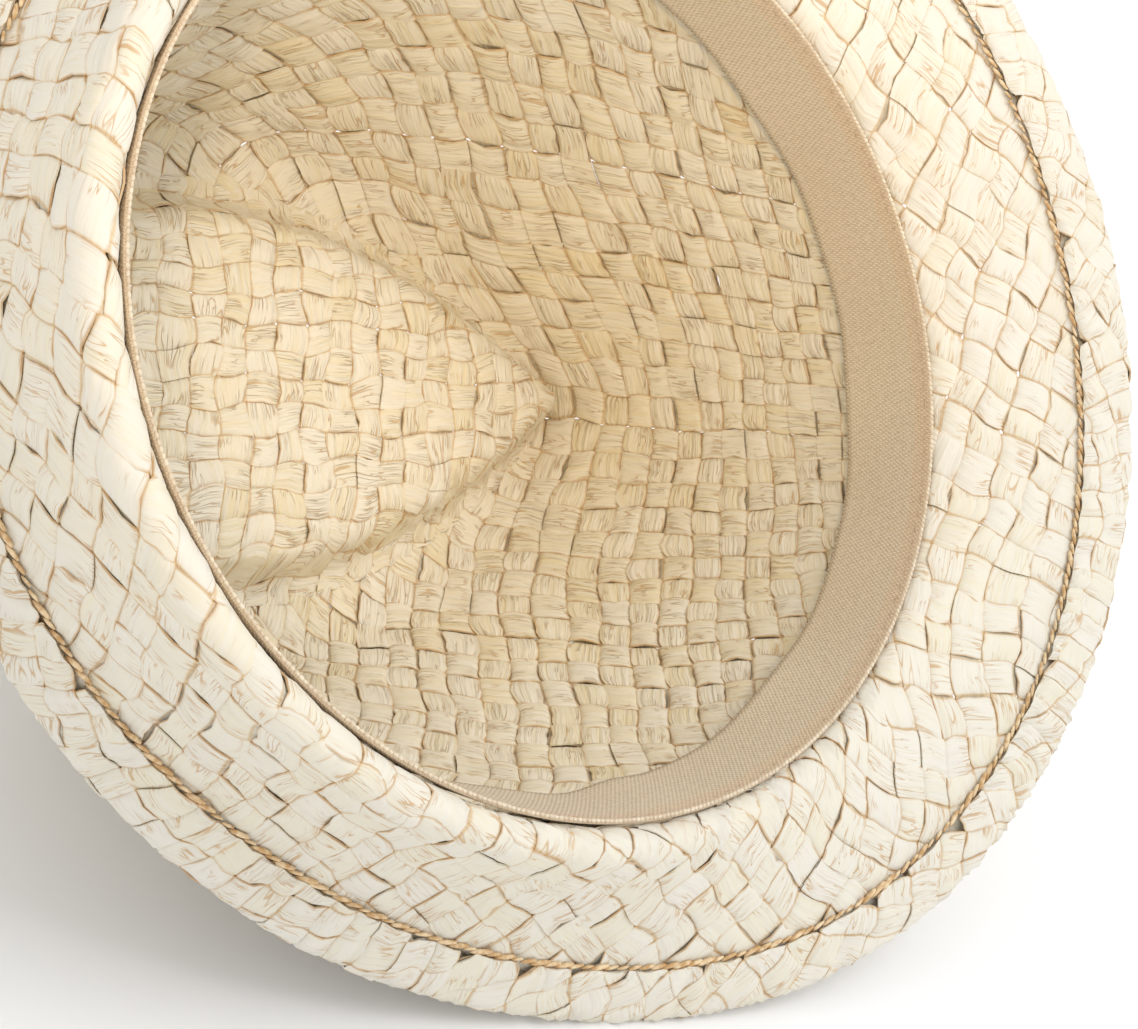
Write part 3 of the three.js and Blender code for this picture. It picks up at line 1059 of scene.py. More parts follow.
@dataclass
class BrimSheet:
    """The flat weave that the brim and its turned edge are cut from."""

    level_turn: float = 38.0
    upright_turn: float = 112.0
    pitch: float = 7.0
    swirl_angle: float = 47.0
    swirl_reach: float = 34.0
    swirl_turn: float = -34.0
    reach: float = 42.4
    ripples: tuple[tuple[tuple[float, ...], ...], ...] = (
        ((0.7, 0.22, 0.19, 0.0), (0.4, -0.17, 0.4, 1.0)),
        ((0.7, -0.16, 0.2, 2.0), (0.4, 0.42, 0.2, 0.0)),
    )

    def flat(self, angle: Points, distance: Points) -> Points:
        """Returns where a point of the brim lies once the brim is laid flat."""
        seam = np.stack(
            [FORM.head_length / 2 * np.cos(angle), FORM.head_width / 2 * np.sin(angle)], axis=-1
        )
        return seam + FORM.outward(angle)[..., :2] * np.asarray(distance)[..., None]

    def counts(self, angle: Points, distance: Points) -> Pair:
        """Returns how many strips of each family have been passed."""
        angle, distance = np.broadcast_arrays(np.asarray(angle, float), np.asarray(distance, float))
        points = self.flat(angle, distance)
        centre_angle = np.array([math.radians(self.swirl_angle)])
        centre = self.flat(centre_angle, np.array([24.0]))[0]
        away = points - centre
        turn = -math.radians(self.swirl_turn) * np.exp(-(away**2).sum(-1) / self.swirl_reach**2)
        cos, sin = np.cos(turn), np.sin(turn)
        x = centre[0] + cos * away[..., 0] - sin * away[..., 1]
        y = centre[1] + sin * away[..., 0] + cos * away[..., 1]
        bent_x = rippled(x, x, y, self.ripples[0])
        bent_y = rippled(y, x, y, self.ripples[1])
        found = []
        for way, sign in ((self.level_turn, 1.0), (self.upright_turn, -1.0)):
            angle_way = math.radians(way)
            across = -math.sin(angle_way) * bent_x + math.cos(angle_way) * bent_y
            found.append(across * sign / self.pitch)
        return tuple(found)

    def brim_limits(self, angle: Points) -> Pair:
        """Returns how far the brim's strips go back round the fold and out to the edge."""
        fold = FORM.brim_slope(angle, np.zeros_like(angle))
        return -FORM.roll * (fold + math.pi / 2) + 0.05, np.full_like(angle, self.reach)

    def brim(self) -> Skin:
        """Returns the brim as a surface to weave on."""
        def middle(angle: Points, distance: Points) -> Points:
            """Returns the middle of the brim's straw."""
            return FORM.brim_point(angle, distance, np.zeros_like(distance))

        span = (0.0, TURN, -9.0, 44.0)
        return Skin(middle, self.counts, span, self.brim_limits, (420, 60), (0, 0), -1.0)


@dataclass
class HemFold:
    """The brim's edge turned under, read by an angle and the way from its lip."""

    sheet: BrimSheet
    puckers: int = 124
    pucker_depth: float = 0.3

    def ways(self) -> Points:
        """Returns how far round the section each row of the path lies."""
        steps = np.linalg.norm(np.diff(HEM_PATH, axis=0), axis=1)
        return np.concatenate([[0.0], np.cumsum(steps)])

    def middle(self, angle: Points, way: Points) -> Points:
        """Returns the middle of the hem's straw."""
        ways = self.ways()
        place = np.interp(way, ways, np.arange(len(ways)))
        inward = smooth_between(HEM_PATH, 0, place)
        offset = smooth_between(HEM_PATH, 1, place)
        pucker = np.sin(self.puckers * angle + 1.8 * np.sin(9 * angle) + 1.1 * np.sin(23 * angle))
        offset = offset + self.pucker_depth * pucker * np.clip((place - 2) / 2, 0, 1)
        return FORM.brim_point(angle, FORM.brim_width - inward, offset)

    def counts(self, angle: Points, way: Points) -> Pair:
        """Returns how many strips have been passed, going on from the brim."""
        return self.sheet.counts(angle, self.sheet.reach + way)

    def limits(self, angle: Points) -> Pair:
        """Returns the hem's two edges."""
        return np.full_like(angle, 0.0), np.full_like(angle, self.ways()[-1])

    def skin(self) -> Skin:
        """Returns the hem as a surface to weave on."""
        span = (0.0, TURN, 0.0, float(self.ways()[-1]))
        return Skin(self.middle, self.counts, span, self.limits, (560, 24), (0, 0), -1.0)


@dataclass(frozen=True)
class StrawFinish:
    """Flat strips of pale paper straw, with painted shade where they pass under one another, and brown along
    their edges and creases that is partly their own colour and partly painted shade.
    """

    name: str
    pale: Colour = (0.84, 0.79, 0.67, 1.0)
    deep: Colour = (0.80, 0.69, 0.44, 1.0)
    # the straw's own brown at strip edges and creases, which the pattern also lays on as painted shade in
    # the edge gaps and creases
    edge: Colour = (0.56, 0.32, 0.10, 1.0)
    # painted shade: the colour a strip darkens to where it passes under its neighbours
    tuck_shade: Colour = (0.66, 0.44, 0.20, 1.0)
    crease_depth: float = 0.75

    def inputs(self) -> dict[str, Colour | float]:
        """Returns the group's inputs by name."""
        return {
            "Pale": self.pale,
            "Deep": self.deep,
            "Edge brown and shade": self.edge,
            "Tuck shade": self.tuck_shade,
            "Crease depth": self.crease_depth,
        }

    def pattern(self) -> bpy.types.NodeTree:
        """Builds the node group that colours and creases a strip, with painted shade where it passes under
        its neighbours and along its edges and creases.

        Returns:
            The group, with its colours and sizes as named inputs.
        """
        group = bpy.data.node_groups.new("StrawStrip", "ShaderNodeTree")
        face = group.interface
        for name, value in self.inputs().items():
            kind = "NodeSocketColor" if isinstance(value, tuple) else "NodeSocketFloat"
            face.new_socket(name, in_out="INPUT", socket_type=kind).default_value = value
        face.new_socket("Color", in_out="OUTPUT", socket_type="NodeSocketColor")
        face.new_socket("Normal", in_out="OUTPUT", socket_type="NodeSocketVector")
        make = NodeBench(group)
        given = make.node("NodeGroupInput")
        fibres = make.strip_noise((120.0, 2400.0, 1.0), 3.0)
        creases = make.strip_noise((55.0, 700.0, 1.0), 2.0)
        folds = make.strip_noise((38.0, 360.0, 3.0), 1.0)
        patches = make.strip_noise((160.0, 170.0, 5.0), 1.0)
        tone, cell, height, edge = (
            make.node("ShaderNodeAttribute", attribute_name=name).outputs["Fac"]
            for name in ("strip_tone", "crossing_tone", "height", "edge")
        )
        tones = make.maths("MULTIPLY_ADD", cell, 0.16, tone, scale_c=0.16)
        streak = make.maths("MULTIPLY_ADD", fibres, 1.0, tones)
        streak = make.maths("MULTIPLY_ADD", creases, 1.1, streak)
        straw = make.mix(given.outputs["Pale"], given.outputs["Deep"], make.ramp(streak, 0.75, 1.75))
        # Brown lines along the strip edges and in folds and creases: partly the straw's own brown, partly
        # painted shade in the gaps and creases.
        is_line = make.maths("MAXIMUM", make.thin_line(folds, 0.014), make.thin_line(creases, 0.016))
        line = make.maths("MULTIPLY", is_line, make.ramp(patches, 0.42, 0.6))
        rim = make.maths("MULTIPLY", make.ramp(edge, 0.88, 1.0), make.ramp(patches, 0.34, 0.54))
        dark = make.maths("MULTIPLY", make.maths("MAXIMUM", rim, line), 0.65)
        # Painted shade: each strip darkens towards the tuck colour where it passes under its neighbours.
        depth = make.maths("ABSOLUTE", height, 0.0)
        sunk_shade = make.maths("MULTIPLY", make.ramp(depth, 0.45, 0.0), 0.6)
        with_tuck_shade = make.mix(straw, given.outputs["Tuck shade"], sunk_shade)
        make.link(make.mix(with_tuck_shade, given.outputs["Edge brown and shade"], dark), make.output("Color"))
        lift = make.maths("MULTIPLY_ADD", creases, 1.2, fibres, scale_c=0.3)
        lift = make.maths("MULTIPLY_ADD", folds, 1.4, lift)
        lift = make.maths("MULTIPLY_ADD", line, -0.25, lift)
        make.link(make.bump(lift, given.outputs["Crease depth"], 0.9), make.output("Normal"))
        return group

    def material(self) -> bpy.types.Material:
        """Returns the finish as a material."""
        material, make, shader = new_material(self.name, {"Roughness": 0.55, "Specular IOR Level": 0.35})
        group = make.node("ShaderNodeGroup")
        group.node_tree = bpy.data.node_groups.get("StrawStrip") or self.pattern()
        for name, value in self.inputs().items():
            group.inputs[name].default_value = value
        make.link(group.outputs["Color"], shader.inputs["Base Color"])
        make.link(group.outputs["Normal"], shader.inputs["Normal"])
        return material


@dataclass
class NodeBench:
    """Adds and joins the nodes of one tree."""

    tree: bpy.types.NodeTree

    def node(self, kind: str, **settings: object) -> bpy.types.Node:
        """Adds a node with its settings."""
        made = self.tree.nodes.new(kind)
        for name, value in settings.items():
            setattr(made, name, value)
        return made

    def link(self, start: Socket, end: Socket) -> None:
        """Joins two sockets."""
        self.tree.links.new(start, end)

    def fill(self, socket: Socket, value: Socket | Colour | float) -> None:
        """Gives a socket a constant, or joins another socket to it."""
        if isinstance(value, (int, float, tuple)):
            socket.default_value = value
        else:
            self.link(value, socket)

    def output(self, name: str) -> Socket:
        """Returns the group's own output socket of a name."""
        ends = [node for node in self.tree.nodes if node.bl_idname == "NodeGroupOutput"]
        end = ends[0] if ends else self.node("NodeGroupOutput")
        return end.inputs[name]

    def maths(
        self,
        operation: str,
        first: Socket | float,
        second: Socket | float,
        third: Socket | None = None,
        scale_c: float = 1.0,
    ) -> Socket:
        """Adds a Math node.

        Args:
            operation: What the node does.
            first: Its first value.
            second: Its second value.
            third: Its third value.
            scale_c: What the third value is multiplied by first.

        Returns:
            The node's output.
        """
        made = self.node("ShaderNodeMath", operation=operation)
        self.fill(made.inputs[0], first)
        self.fill(made.inputs[1], second)
        if third is not None:
            if scale_c != 1.0:
                third = self.maths("MULTIPLY", third, scale_c)
            self.link(third, made.inputs[2])
        return made.outputs[0]

    def noise(self, place: Socket, scale: float, detail: float) -> bpy.types.Node:
        """Adds a noise.

        Args:
            place: Where it is read.
            scale: How fine it is.
            detail: How many finer noises it holds.

        Returns:
            The noise.
        """
        made = self.node("ShaderNodeTexNoise")
        made.inputs["Scale"].default_value = scale
        made.inputs["Detail"].default_value = detail
        self.link(place, made.inputs["Vector"])
        return made

    def strip_noise(self, scale: tuple[float, float, float], detail: float) -> Socket:
        """Adds a noise stretched along a strip.

        Args:
            scale: Waves to the metre along the strip and across it, and which noise.
            detail: How many finer noises it holds.

        Returns:
            The noise's value.
        """
        along, across, which = scale
        place = self.node("ShaderNodeUVMap", uv_map="strip")
        stretched = self.node("ShaderNodeMapping")
        stretched.inputs["Scale"].default_value = (along, across, 1.0)
        stretched.inputs["Location"].default_value = (which * 3.7, which * 9.1, which)
        self.link(place.outputs["UV"], stretched.inputs["Vector"])
        noise = self.noise(stretched.outputs["Vector"], 1.0, detail)
        noise.inputs["Roughness"].default_value = 0.6
        return noise.outputs["Fac"]

    def thin_line(self, value: Socket, width: float) -> Socket:
        """Marks the thin lines where a noise passes its middle."""
        away = self.maths("ABSOLUTE", self.maths("SUBTRACT", value, 0.5), 0.0)
        return self.ramp(away, width, 0.0)

    def ramp(self, value: Socket, low: float, high: float) -> Socket:
        """Turns a value from low to high into a smooth step from 0 to 1."""
        made = self.node("ShaderNodeMapRange", interpolation_type="SMOOTHSTEP")
        is_falling = low > high
        made.inputs["From Min"].default_value = min(low, high)
        made.inputs["From Max"].default_value = max(low, high)
        made.inputs["To Min"].default_value = 1.0 if is_falling else 0.0
        made.inputs["To Max"].default_value = 0.0 if is_falling else 1.0
        self.link(value, made.inputs["Value"])
        return made.outputs["Result"]

    def mix(self, start: Socket | Colour, end: Socket | Colour, share: Socket) -> Socket:
        """Mixes two colours."""
        made = self.node("ShaderNodeMix", data_type="RGBA")
        self.link(share, made.inputs[0])
        self.fill(made.inputs[6], start)
        self.fill(made.inputs[7], end)
        return made.outputs[2]

    def bump(self, height: Socket, strength: Socket | float, depth_mm: float) -> Socket:
        """Turns a height into a normal."""
        made = self.node("ShaderNodeBump")
        made.inputs["Distance"].default_value = depth_mm * MM
        self.fill(made.inputs["Strength"], strength)
        self.link(height, made.inputs["Height"])
        return made.outputs["Normal"]


def new_material(
    name: str, values: dict[str, float]
) -> tuple[bpy.types.Material, NodeBench, bpy.types.Node]:
    """Makes a material.

    Args:
        name: The material's name.
        values: The shader's constants by socket name.

    Returns:
        The material, a bench for its nodes, and its shader.
    """
    material = bpy.data.materials.new(name)
    material.use_nodes = True
    shader = material.node_tree.nodes["Principled BSDF"]
    for socket, value in values.items():
        shader.inputs[socket].default_value = value
    return material, NodeBench(material.node_tree), shader


@dataclass(frozen=True)
class CottonFinish:
    """Fine plain-woven cotton tape, pinker below its seam."""

    name: str = "sweatband_cotton"
    light: Colour = (0.72, 0.62, 0.475, 1.0)
    dark: Colour = (0.50, 0.39, 0.26, 1.0)
    blush: Colour = (0.74, 0.59, 0.43, 1.0)
    thread_mm: tuple[float, float] = (0.5, 0.7)
    seam_mm: float = 3.6

    def material(self) -> bpy.types.Material:
        """Returns the finish as a material."""
        values = {"Roughness": 0.9, "Specular IOR Level": 0.2, "Sheen Weight": 0.15}
        material, make, shader = new_material(self.name, values)
        cloth = make.node("ShaderNodeUVMap", uv_map="cloth").outputs["UV"]
        noise = make.noise(cloth, 800.0, 3.0).outputs["Fac"]
        apart = make.node("ShaderNodeSeparateXYZ")
        make.link(cloth, apart.inputs["Vector"])
        slanted = make.maths("MULTIPLY_ADD", apart.outputs["Y"], 0.22, apart.outputs["X"])
        shaken = make.maths("MULTIPLY_ADD", noise, 0.0002, slanted)
        warp, weft = (
            make.maths("SINE", make.maths("MULTIPLY", place, math.pi / (size * MM)), 0.0)
            for place, size in zip((shaken, apart.outputs["Y"]), self.thread_mm)
        )
        woven = make.maths("MULTIPLY", warp, weft)
        ribs = make.maths("MULTIPLY_ADD", woven, 0.5, make.maths("ABSOLUTE", warp, 0.0), scale_c=0.4)
        thread = make.maths("MULTIPLY_ADD", noise, 0.7, ribs)
        lower = make.ramp(apart.outputs["Y"], self.seam_mm * 1.2 * MM, self.seam_mm * MM)
        lit = make.mix(self.light, self.blush, lower)
        make.link(make.mix(self.dark, lit, make.ramp(thread, -0.05, 0.9)), shader.inputs["Base Color"])
        make.link(make.bump(thread, 0.7, 0.3), shader.inputs["Normal"])
        return material


@dataclass(frozen=True)
class ThreadFinish:
    """Twisted straw thread."""

    name: str
    light: Colour
    dark: Colour

    def material(self) -> bpy.types.Material:
        """Returns the finish as a material."""
        material, make, shader = new_material(self.name, {"Roughness": 0.7})
        place = make.node("ShaderNodeTexCoord")
        noise = make.noise(place.outputs["Object"], 700.0, 3.0).outputs["Fac"]
        colour = make.mix(self.light, self.dark, make.ramp(noise, 0.35, 0.65))
        make.link(colour, shader.inputs["Base Color"])
        make.link(make.bump(noise, 0.5, 0.2), shader.inputs["Normal"])
        return material


@dataclass
class ThreadRow:
    """A closed row of stitches or of twisted thread's turns, laid by Geometry Nodes."""

    name: str
    spacing: float
    length: float
    width: float
    height: float
    slant: float
    uneven: float = 0.15
    seed: int = 1

    def tree(self, material: bpy.types.Material) -> bpy.types.NodeTree:
        """Builds the node tree that lays one turn of thread at even steps along a line.

        Args:
            material: What the thread is finished with.

        Returns:
            The tree, with its sizes as named inputs.
        """
        tree = bpy.data.node_groups.new("ThreadRow", "GeometryNodeTree")
        face = tree.interface
        face.new_socket("Geometry", in_out="INPUT", socket_type="NodeSocketGeometry")
        for name in ("Spacing", "Length", "Width", "Height", "Slant", "Unevenness"):
            face.new_socket(name, in_out="INPUT", socket_type="NodeSocketFloat")
        face.new_socket("Seed", in_out="INPUT", socket_type="NodeSocketInt")
        face.new_socket("Geometry", in_out="OUTPUT", socket_type="NodeSocketGeometry")
        make = NodeBench(tree)
        given = make.node("NodeGroupInput")
        line = make.node("GeometryNodeMeshToCurve")
        steps = make.node("GeometryNodeResampleCurve", mode="LENGTH")
        lay = make.node("GeometryNodeInstanceOnPoints")
        real = make.node("GeometryNodeRealizeInstances")
        smooth = make.node("GeometryNodeSetShadeSmooth")
        dressed = make.node("GeometryNodeSetMaterial")
        dressed.inputs["Material"].default_value = material
        for start, end in (
            (given.outputs["Geometry"], line.inputs["Mesh"]),
            (line.outputs["Curve"], steps.inputs["Curve"]),
            (given.outputs["Spacing"], steps.inputs["Length"]),
            (steps.outputs["Curve"], lay.inputs["Points"]),
            (self.turn(make, given), lay.inputs["Instance"]),
            (self.heading(make, given), lay.inputs["Rotation"]),
            (self.sizes(make, given), lay.inputs["Scale"]),
            (lay.outputs["Instances"], real.inputs["Geometry"]),
            (real.outputs["Geometry"], smooth.inputs["Geometry"]),
            (smooth.outputs["Geometry"], dressed.inputs["Geometry"]),
            (dressed.outputs["Geometry"], make.output("Geometry")),
        ):
            make.link(start, end)
        return tree

    def turn(self, make: NodeBench, given: bpy.types.Node) -> Socket:
        """Adds the shape of one turn of thread."""
        bead = make.node("GeometryNodeMeshUVSphere")
        bead.inputs["Segments"].default_value = 7
        bead.inputs["Rings"].default_value = 5
        bead.inputs["Radius"].default_value = 0.5
        size = make.node("ShaderNodeCombineXYZ")
        for axis, name in (("X", "Length"), ("Y", "Width"), ("Z", "Height")):
            make.link(given.outputs[name], size.inputs[axis])
        shaped = make.node("GeometryNodeTransform")
        make.link(bead.outputs["Mesh"], shaped.inputs["Geometry"])
        make.link(size.outputs["Vector"], shaped.inputs["Scale"])
        return shaped.outputs["Geometry"]

    def heading(self, make: NodeBench, given: bpy.types.Node) -> Socket:
        """Turns each piece of thread along the line, slanted, with its back to the straw."""
        tangent = make.node("GeometryNodeInputTangent")
        along = make.node("FunctionNodeAlignRotationToVector", axis="X")
        make.link(tangent.outputs["Tangent"], along.inputs["Vector"])
        lie = make.node("GeometryNodeInputNamedAttribute", data_type="FLOAT_VECTOR")
        lie.inputs["Name"].default_value = "lie"
        upright = make.node("FunctionNodeAlignRotationToVector", axis="Z", pivot_axis="X")
        make.link(along.outputs["Rotation"], upright.inputs["Rotation"])
        make.link(lie.outputs["Attribute"], upright.inputs["Vector"])
        slanted = make.node("FunctionNodeAxisAngleToRotation")
        slanted.inputs["Axis"].default_value = (0.0, 0.0, 1.0)
        make.link(given.outputs["Slant"], slanted.inputs["Angle"])
        both = make.node("FunctionNodeRotateRotation", rotation_space="LOCAL")
        make.link(upright.outputs["Rotation"], both.inputs["Rotation"])
        make.link(slanted.outputs["Rotation"], both.inputs["Rotate By"])
        return both.outputs["Rotation"]

    def sizes(self, make: NodeBench, given: bpy.types.Node) -> Socket:
        """Makes each piece of thread a little larger or smaller."""
        one = make.node("FunctionNodeRandomValue", data_type="FLOAT")
        make.link(make.maths("SUBTRACT", 1.0, given.outputs["Unevenness"]), one.inputs[2])
        make.link(make.maths("ADD", given.outputs["Unevenness"], 1.0), one.inputs[3])
        make.link(given.outputs["Seed"], one.inputs["Seed"])
        return one.outputs[1]

    def lay(self, points: Points, above: Points, material: bpy.types.Material) -> bpy.types.Object:
        """Lays the row along a closed line.

        Args:
            points: The line's points in metres.
            above: The same points, a millimetre off the straw.
            material: What the thread is finished with.

        Returns:
            The row as a plain mesh piece.
        """
        count = len(points)
        line = bpy.data.meshes.new(self.name + "_line")
        ids = np.arange(count)
        line.from_pydata(points.tolist(), np.stack([ids, np.roll(ids, -1)], axis=1).tolist(), [])
        lie = line.attributes.new("lie", "FLOAT_VECTOR", "POINT")
        lie.data.foreach_set("vector", unit(above - points).ravel().astype(np.float32))
        carrier = stand(self.name + "_line", line)
        tree = self.tree(material)
        sewn = carrier.modifiers.new("sewn", "NODES")
        sewn.node_group = tree
        values = {
            "Spacing": self.spacing * MM,
            "Length": self.length * MM,
            "Width": self.width * MM,
            "Height": self.height * MM,
            "Slant": math.radians(self.slant),
            "Unevenness": self.uneven,
            "Seed": self.seed,
        }
        for socket in tree.interface.items_tree:
            if socket.in_out == "INPUT" and socket.name in values:
                sewn[socket.identifier] = values[socket.name]
        graph = bpy.context.evaluated_depsgraph_get()
        mesh = bpy.data.meshes.new_from_object(carrier.evaluated_get(graph))
        mesh.name = self.name
        bpy.data.objects.remove(carrier)
        return stand(self.name, mesh)


@dataclass
class Sweatband:
    """The cotton tape round the headline inside."""

    height: float = 21.5
    thickness: float = 0.9
    standoff: float = 1.8
    lowest_slope: float = -75.0
    face_gap: float = 1.3
    girth: float = 0.57
    fold_at: float = 86.0
    fold_width: float = 5.0
    fold_depth: float = 1.6
    steps_around: int = 480
    steps_up: int = 16

    def section(self) -> Pair:
        """Works out the tape's middle.

        Returns:
            Points in metres for each angle and step, and how far up the tape each step lies.
        """
        angle = np.linspace(0, TURN, self.steps_around, endpoint=False)
        face = self.face_gap + self.thickness / 2
        rows = []
        low = math.radians(self.lowest_slope)
        for share in np.linspace(0, 1, 4)[:-1]:
            slope = low + (-math.pi / 2 - low) * share
            rows.append(FORM.fold_point(angle, np.full_like(angle, slope), np.full_like(angle, face)))
        place_line = np.linspace(0, 3, 3001)
        height_line = smooth_between(CROWN_RINGS, 0, place_line) * FORM.crown_height
        for share in np.linspace(0, 1, self.steps_up - 2):
            height = 0.3 + (self.height - FORM.roll) * share
            place = np.full_like(angle, np.interp(height, height_line, place_line))
            point = FORM.crown_middle(angle, place)
            step = 1e-3
            around = FORM.crown_middle(angle + step, place) - FORM.crown_middle(angle - step, place)
            up = FORM.crown_middle(angle, place + step) - FORM.crown_middle(angle, place - step)
            inward = -unit(np.cross(around, up))
            wave = 0.45 * share**2 * (np.sin(7 * angle + 1.0) + 0.8 * np.sin(15 * angle))
            from_fold = (np.degrees(angle) - self.fold_at) / self.fold_width
            wave = wave + self.fold_depth * share * np.exp(-(from_fold**2))
            rows.append(point + inward * (face + self.standoff * share + wave)[:, None])
        points = np.stack(rows, axis=1)
        steps = np.linalg.norm(np.diff(points, axis=1), axis=2)
        ways = np.concatenate([np.zeros((len(angle), 1)), np.cumsum(steps, axis=1)], axis=1)
        return FORM.on_floor(points), ways * MM

    def build(self) -> bpy.types.Object:
        """Builds the tape as cloth with a thickness."""
        points, ways = self.section()
        around, up = points.shape[:2]
        ids = np.arange(around * up).reshape(around, up)
        beyond = np.roll(ids, -1, axis=0)
        faces = np.stack([ids[:, :-1], beyond[:, :-1], beyond[:, 1:], ids[:, 1:]], -1).reshape(-1, 4)
        mesh = RibbonMesh("sweatband_tape").mesh(points.reshape(-1, 3), faces)
        length = np.arange(around + 1) / around * self.girth
        corner_u = np.stack([length[:-1], length[1:], length[1:], length[:-1]], -1)
        corner_u = np.repeat(corner_u[:, None, :], up - 1, axis=1)
        wrapped = np.concatenate([ways, ways[:1]])
        corner_v = np.stack(
            [wrapped[:-1, :-1], wrapped[1:, :-1], wrapped[1:, 1:], wrapped[:-1, 1:]], -1
        )
        layer = mesh.uv_layers.new(name="cloth")
        layer.data.foreach_set("uv", np.stack([corner_u, corner_v], -1).ravel().astype(np.float32))
        piece = stand("sweatband_tape", mesh)
        thick = piece.modifiers.new("thickness", "SOLIDIFY")
        thick.thickness = self.thickness * MM
        thick.offset = 0.0
        piece.data.materials.append(CottonFinish().material())
        return piece


@dataclass
class Studio:
    """The camera, the soft light and the pale floor."""

    eye: Spot = (-0.26760403609888016, -0.21612238535034658, 0.26756942501286267)
    right: Spot = (0.7017761384032278, -0.6472769880103936, 0.2975613421801393)
    down: Spot = (-0.1853975079072433, -0.5692363348486311, -0.8009979769948732)
    forward: Spot = (0.6878502857669228, 0.5069541358745272, -0.5194800174117126)
    focus_pixels: float = 2000.0
    frame_width: float = 1138.0
    glow_from: Spot = (-0.52, -0.46, 0.5)
    glow_aim: Spot = (0.025, 0.03, 0.12)
    glow_tint: Spot = (1.0, 0.72, 0.38)
    glow_watts: float = 10.0
    glow_degrees: float = 17.0
    key_from: Spot = (0.55, -0.8, 1.6)
    key_aim: Spot = (0.0, 0.0, 0.08)
    key_size: float = 1.1
    key_watts: float = 11.5
    surround: float = 0.92
    floor_reach: float = 6.0
    floor_grey: float = 0.93

    def camera(self) -> None:
        """Places the camera where the photograph was taken."""
        lens = bpy.data.cameras.new("camera")
        lens.sensor_fit = "HORIZONTAL"
        lens.sensor_width = 36.0
        lens.lens = 36.0 * self.focus_pixels / self.frame_width
        lens.clip_start = 0.01
        camera = stand("camera", lens)
        columns = [self.right, [-x for x in self.down], [-x for x in self.forward], self.eye]
        rows = [[column[row] for column in columns] for row in range(3)]
        camera.matrix_world = Matrix([*rows, [0.0, 0.0, 0.0, 1.0]])
        bpy.context.scene.camera = camera

    def floor(self) -> None:
        """Lays the floor."""
        mesh = bpy.data.meshes.new("floor")
        far = self.floor_reach
        corners = [(-far, -far, 0), (far, -far, 0), (far, far, 0), (-far, far, 0)]
        mesh.from_pydata(corners, [], [(0, 1, 2, 3)])
        floor = stand("floor", mesh)
        grey = (self.floor_grey, self.floor_grey, self.floor_grey, 1.0)
        floor.data.materials.append(new_material("floor_white", {"Base Color": grey, "Roughness": 0.9})[0])

    def key(self) -> None:
        """Hangs the soft lamp."""
        light = bpy.data.lights.new("key", "AREA")
        light.size = self.key_size
        light.energy = self.key_watts
        point_at(stand("key", light), self.key_from, self.key_aim)

    def glow(self) -> None:
        """Warms the hollow of the crown, as light that comes through the straw does."""
        light = bpy.data.lights.new("glow", "SPOT")
        light.color = self.glow_tint
        light.energy = self.glow_watts
        light.spot_size = math.radians(self.glow_degrees)
        light.spot_blend = 0.6
        light.shadow_soft_size = 0.05
        point_at(stand("glow", light), self.glow_from, self.glow_aim)

    def light(self) -> None:
        """Lights the scene from the upper right with a white surround."""
        world = bpy.data.worlds.new("surround")
        bpy.context.scene.world = world
        world.use_nodes = True
        backdrop = world.node_tree.nodes["Background"]
        backdrop.inputs["Color"].default_value = (1.0, 1.0, 1.0, 1.0)
        backdrop.inputs["Strength"].default_value = self.surround
        self.key()
        self.glow()
        bpy.context.scene.view_settings.view_transform = "Standard"


@dataclass(frozen=True)
class Sewing:
    """A row of thread, its finish, and where on the hat it runs.

    Args:
        row: The thread.
        finish: What it is finished with.
        slot: A material slot's name; not used.
        off: Millimetres from the middle of the straw.
        fold_slope: Degrees round the fold, or None on the hem.
    """

    row: ThreadRow
    finish: ThreadFinish
    slot: str
    off: float
    fold_slope: float | None = None

    def line(self, lift: float) -> Points:
        """Returns the row's line, lifted some millimetres more."""
        angle = np.linspace(0, TURN, 1440, endpoint=False)
        off = np.full_like(angle, self.off + lift)
        if self.fold_slope is None:
            inward = np.full_like(angle, FORM.brim_width - HEM_THREAD_IN)
            return FORM.on_floor(FORM.brim_point(angle, inward, off))
        slope = np.full_like(angle, math.radians(self.fold_slope))
        return FORM.on_floor(FORM.fold_point(angle, slope, off))

    def sew(self) -> bpy.types.Object:
        """Lays the row and gives it its body."""
        material = self.finish.material()
        piece = self.row.lay(self.line(0.0), self.line(1.0), material)
        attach(piece, "root")
        LOG.info("%s: %d faces", piece.name, len(piece.data.polygons))
        return piece


HEM_ROW = Sewing(
    ThreadRow("hem_thread", 2.5, 3.7, 0.85, 0.8, 20.0, 0.3, 11),
    ThreadFinish("hem_thread_straw", (0.84, 0.66, 0.42, 1.0), (0.58, 0.35, 0.15, 1.0)),
    "hem_straw",
    1.25,
)
TAPE_ROWS = (
    Sewing(
        ThreadRow("sweatband_selvedge", 1.05, 1.45, 0.8, 0.75, 20.0, 0.12, 12),
        ThreadFinish("selvedge_cream", (0.78, 0.69, 0.54, 1.0), (0.64, 0.52, 0.38, 1.0)),
        "cotton",
        1.9,
        -76.0,
    ),
    Sewing(
        ThreadRow("sweatband_stitches", 3.5, 1.7, 0.4, 0.3, 6.0, 0.15, 13),
        ThreadFinish("seam_rose", (0.62, 0.47, 0.35, 1.0), (0.48, 0.33, 0.23, 1.0)),
        "cotton",
        2.22,
        -90.0,
    ),
)
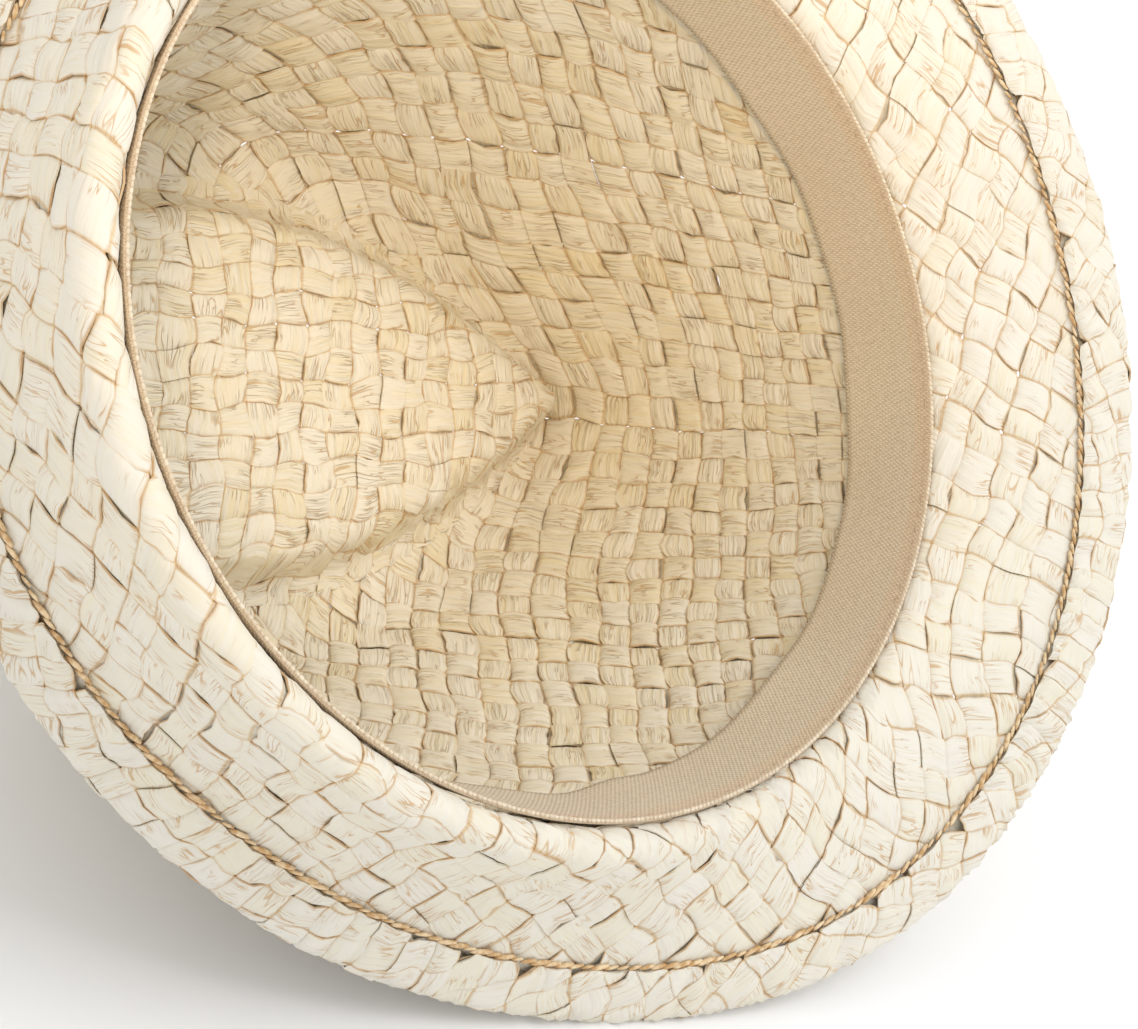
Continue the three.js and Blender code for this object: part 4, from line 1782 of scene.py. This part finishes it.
# Painted light: the crown's straw again, with paler and less saturated colours for the brim and hem. They
# stand for the whiter light the open brim gets than the hollow of the crown. Its creases are shallower too.
BRIM_LIT_STRAW = {
    "pale": (0.765, 0.73, 0.645, 1.0),
    "deep": (0.76, 0.70, 0.53, 1.0),
    "edge": (0.52, 0.27, 0.06, 1.0),
    "tuck_shade": (0.63, 0.41, 0.16, 1.0),
    "crease_depth": 0.35,
}


@dataclass
class Trilby:
    """The hat's pieces, put together."""

    crown_cut: StripCut = StripCut(
        7.6, 0.55, cover=(1.1, 1.0), pinch=(0.06, 0.26), bulge=0.32, seed=3
    )
    tip_cut: StripCut = StripCut(6.5, 0.42, cover=(1.05, 1.02), bulge=0.15, seed=5)
    tip_lift: float = 0.3
    brim_cut: StripCut = StripCut(7.0, 0.42, cover=(1.06, 1.06), bulge=0.16, uneven=0.1, seed=7)
    hem_cut: StripCut = StripCut(
        7.0, 0.32, cover=(1.08, 1.08), bulge=0.25, tilt=0.4, columns=5, seed=9
    )

    def build(self) -> None:
        """Builds and dresses each piece."""
        tip = CrownTip()
        tip.measure()
        wall = CrownWall()
        wall.measure()
        wall.fit(tip)
        sheet = BrimSheet()
        hem = HemFold(sheet)
        straw = StrawFinish("straw_pale").material()
        # The brim and hem wear the lit copy of the straw: painted light.
        brim_straw = StrawFinish("brim_straw_lit_copy", **BRIM_LIT_STRAW).material()
        hem_straw = StrawFinish("hem_straw_lit_copy", **BRIM_LIT_STRAW).material()
        weaves = (
            (Weave("crown_wall", wall.skin(), self.crown_cut), "crown", "straw", straw),
            (Weave("crown_tip", tip.skin(), self.tip_cut, self.tip_lift), "crown", "straw", straw),
            (Weave("brim", sheet.brim(), self.brim_cut), "brim", "straw", brim_straw),
            (Weave("hem", hem.skin(), self.hem_cut), "brim_hem", "hem_straw", hem_straw),
        )
        for weave, node, slot, material in weaves:
            for family in Family:
                piece = weave.strips(family)
                piece.data.materials.append(material)
                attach(piece, "root")
                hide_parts(node)
                LOG.info("%s: %d faces", piece.name, len(piece.data.polygons))
        HEM_ROW.sew()
        rows = [row.sew() for row in TAPE_ROWS]
        band = Sweatband().build()
        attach(band, "root")
        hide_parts("sweatband")
        LOG.info("sweatband: %d faces", len(band.data.polygons))


def main() -> None:
    """Builds the trilby and its studio."""
    logging.basicConfig(level=logging.INFO, format="%(message)s")
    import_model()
    studio = Studio()
    studio.camera()
    studio.floor()
    studio.light()
    Trilby().build()


if __name__ == "__main__":
    main()
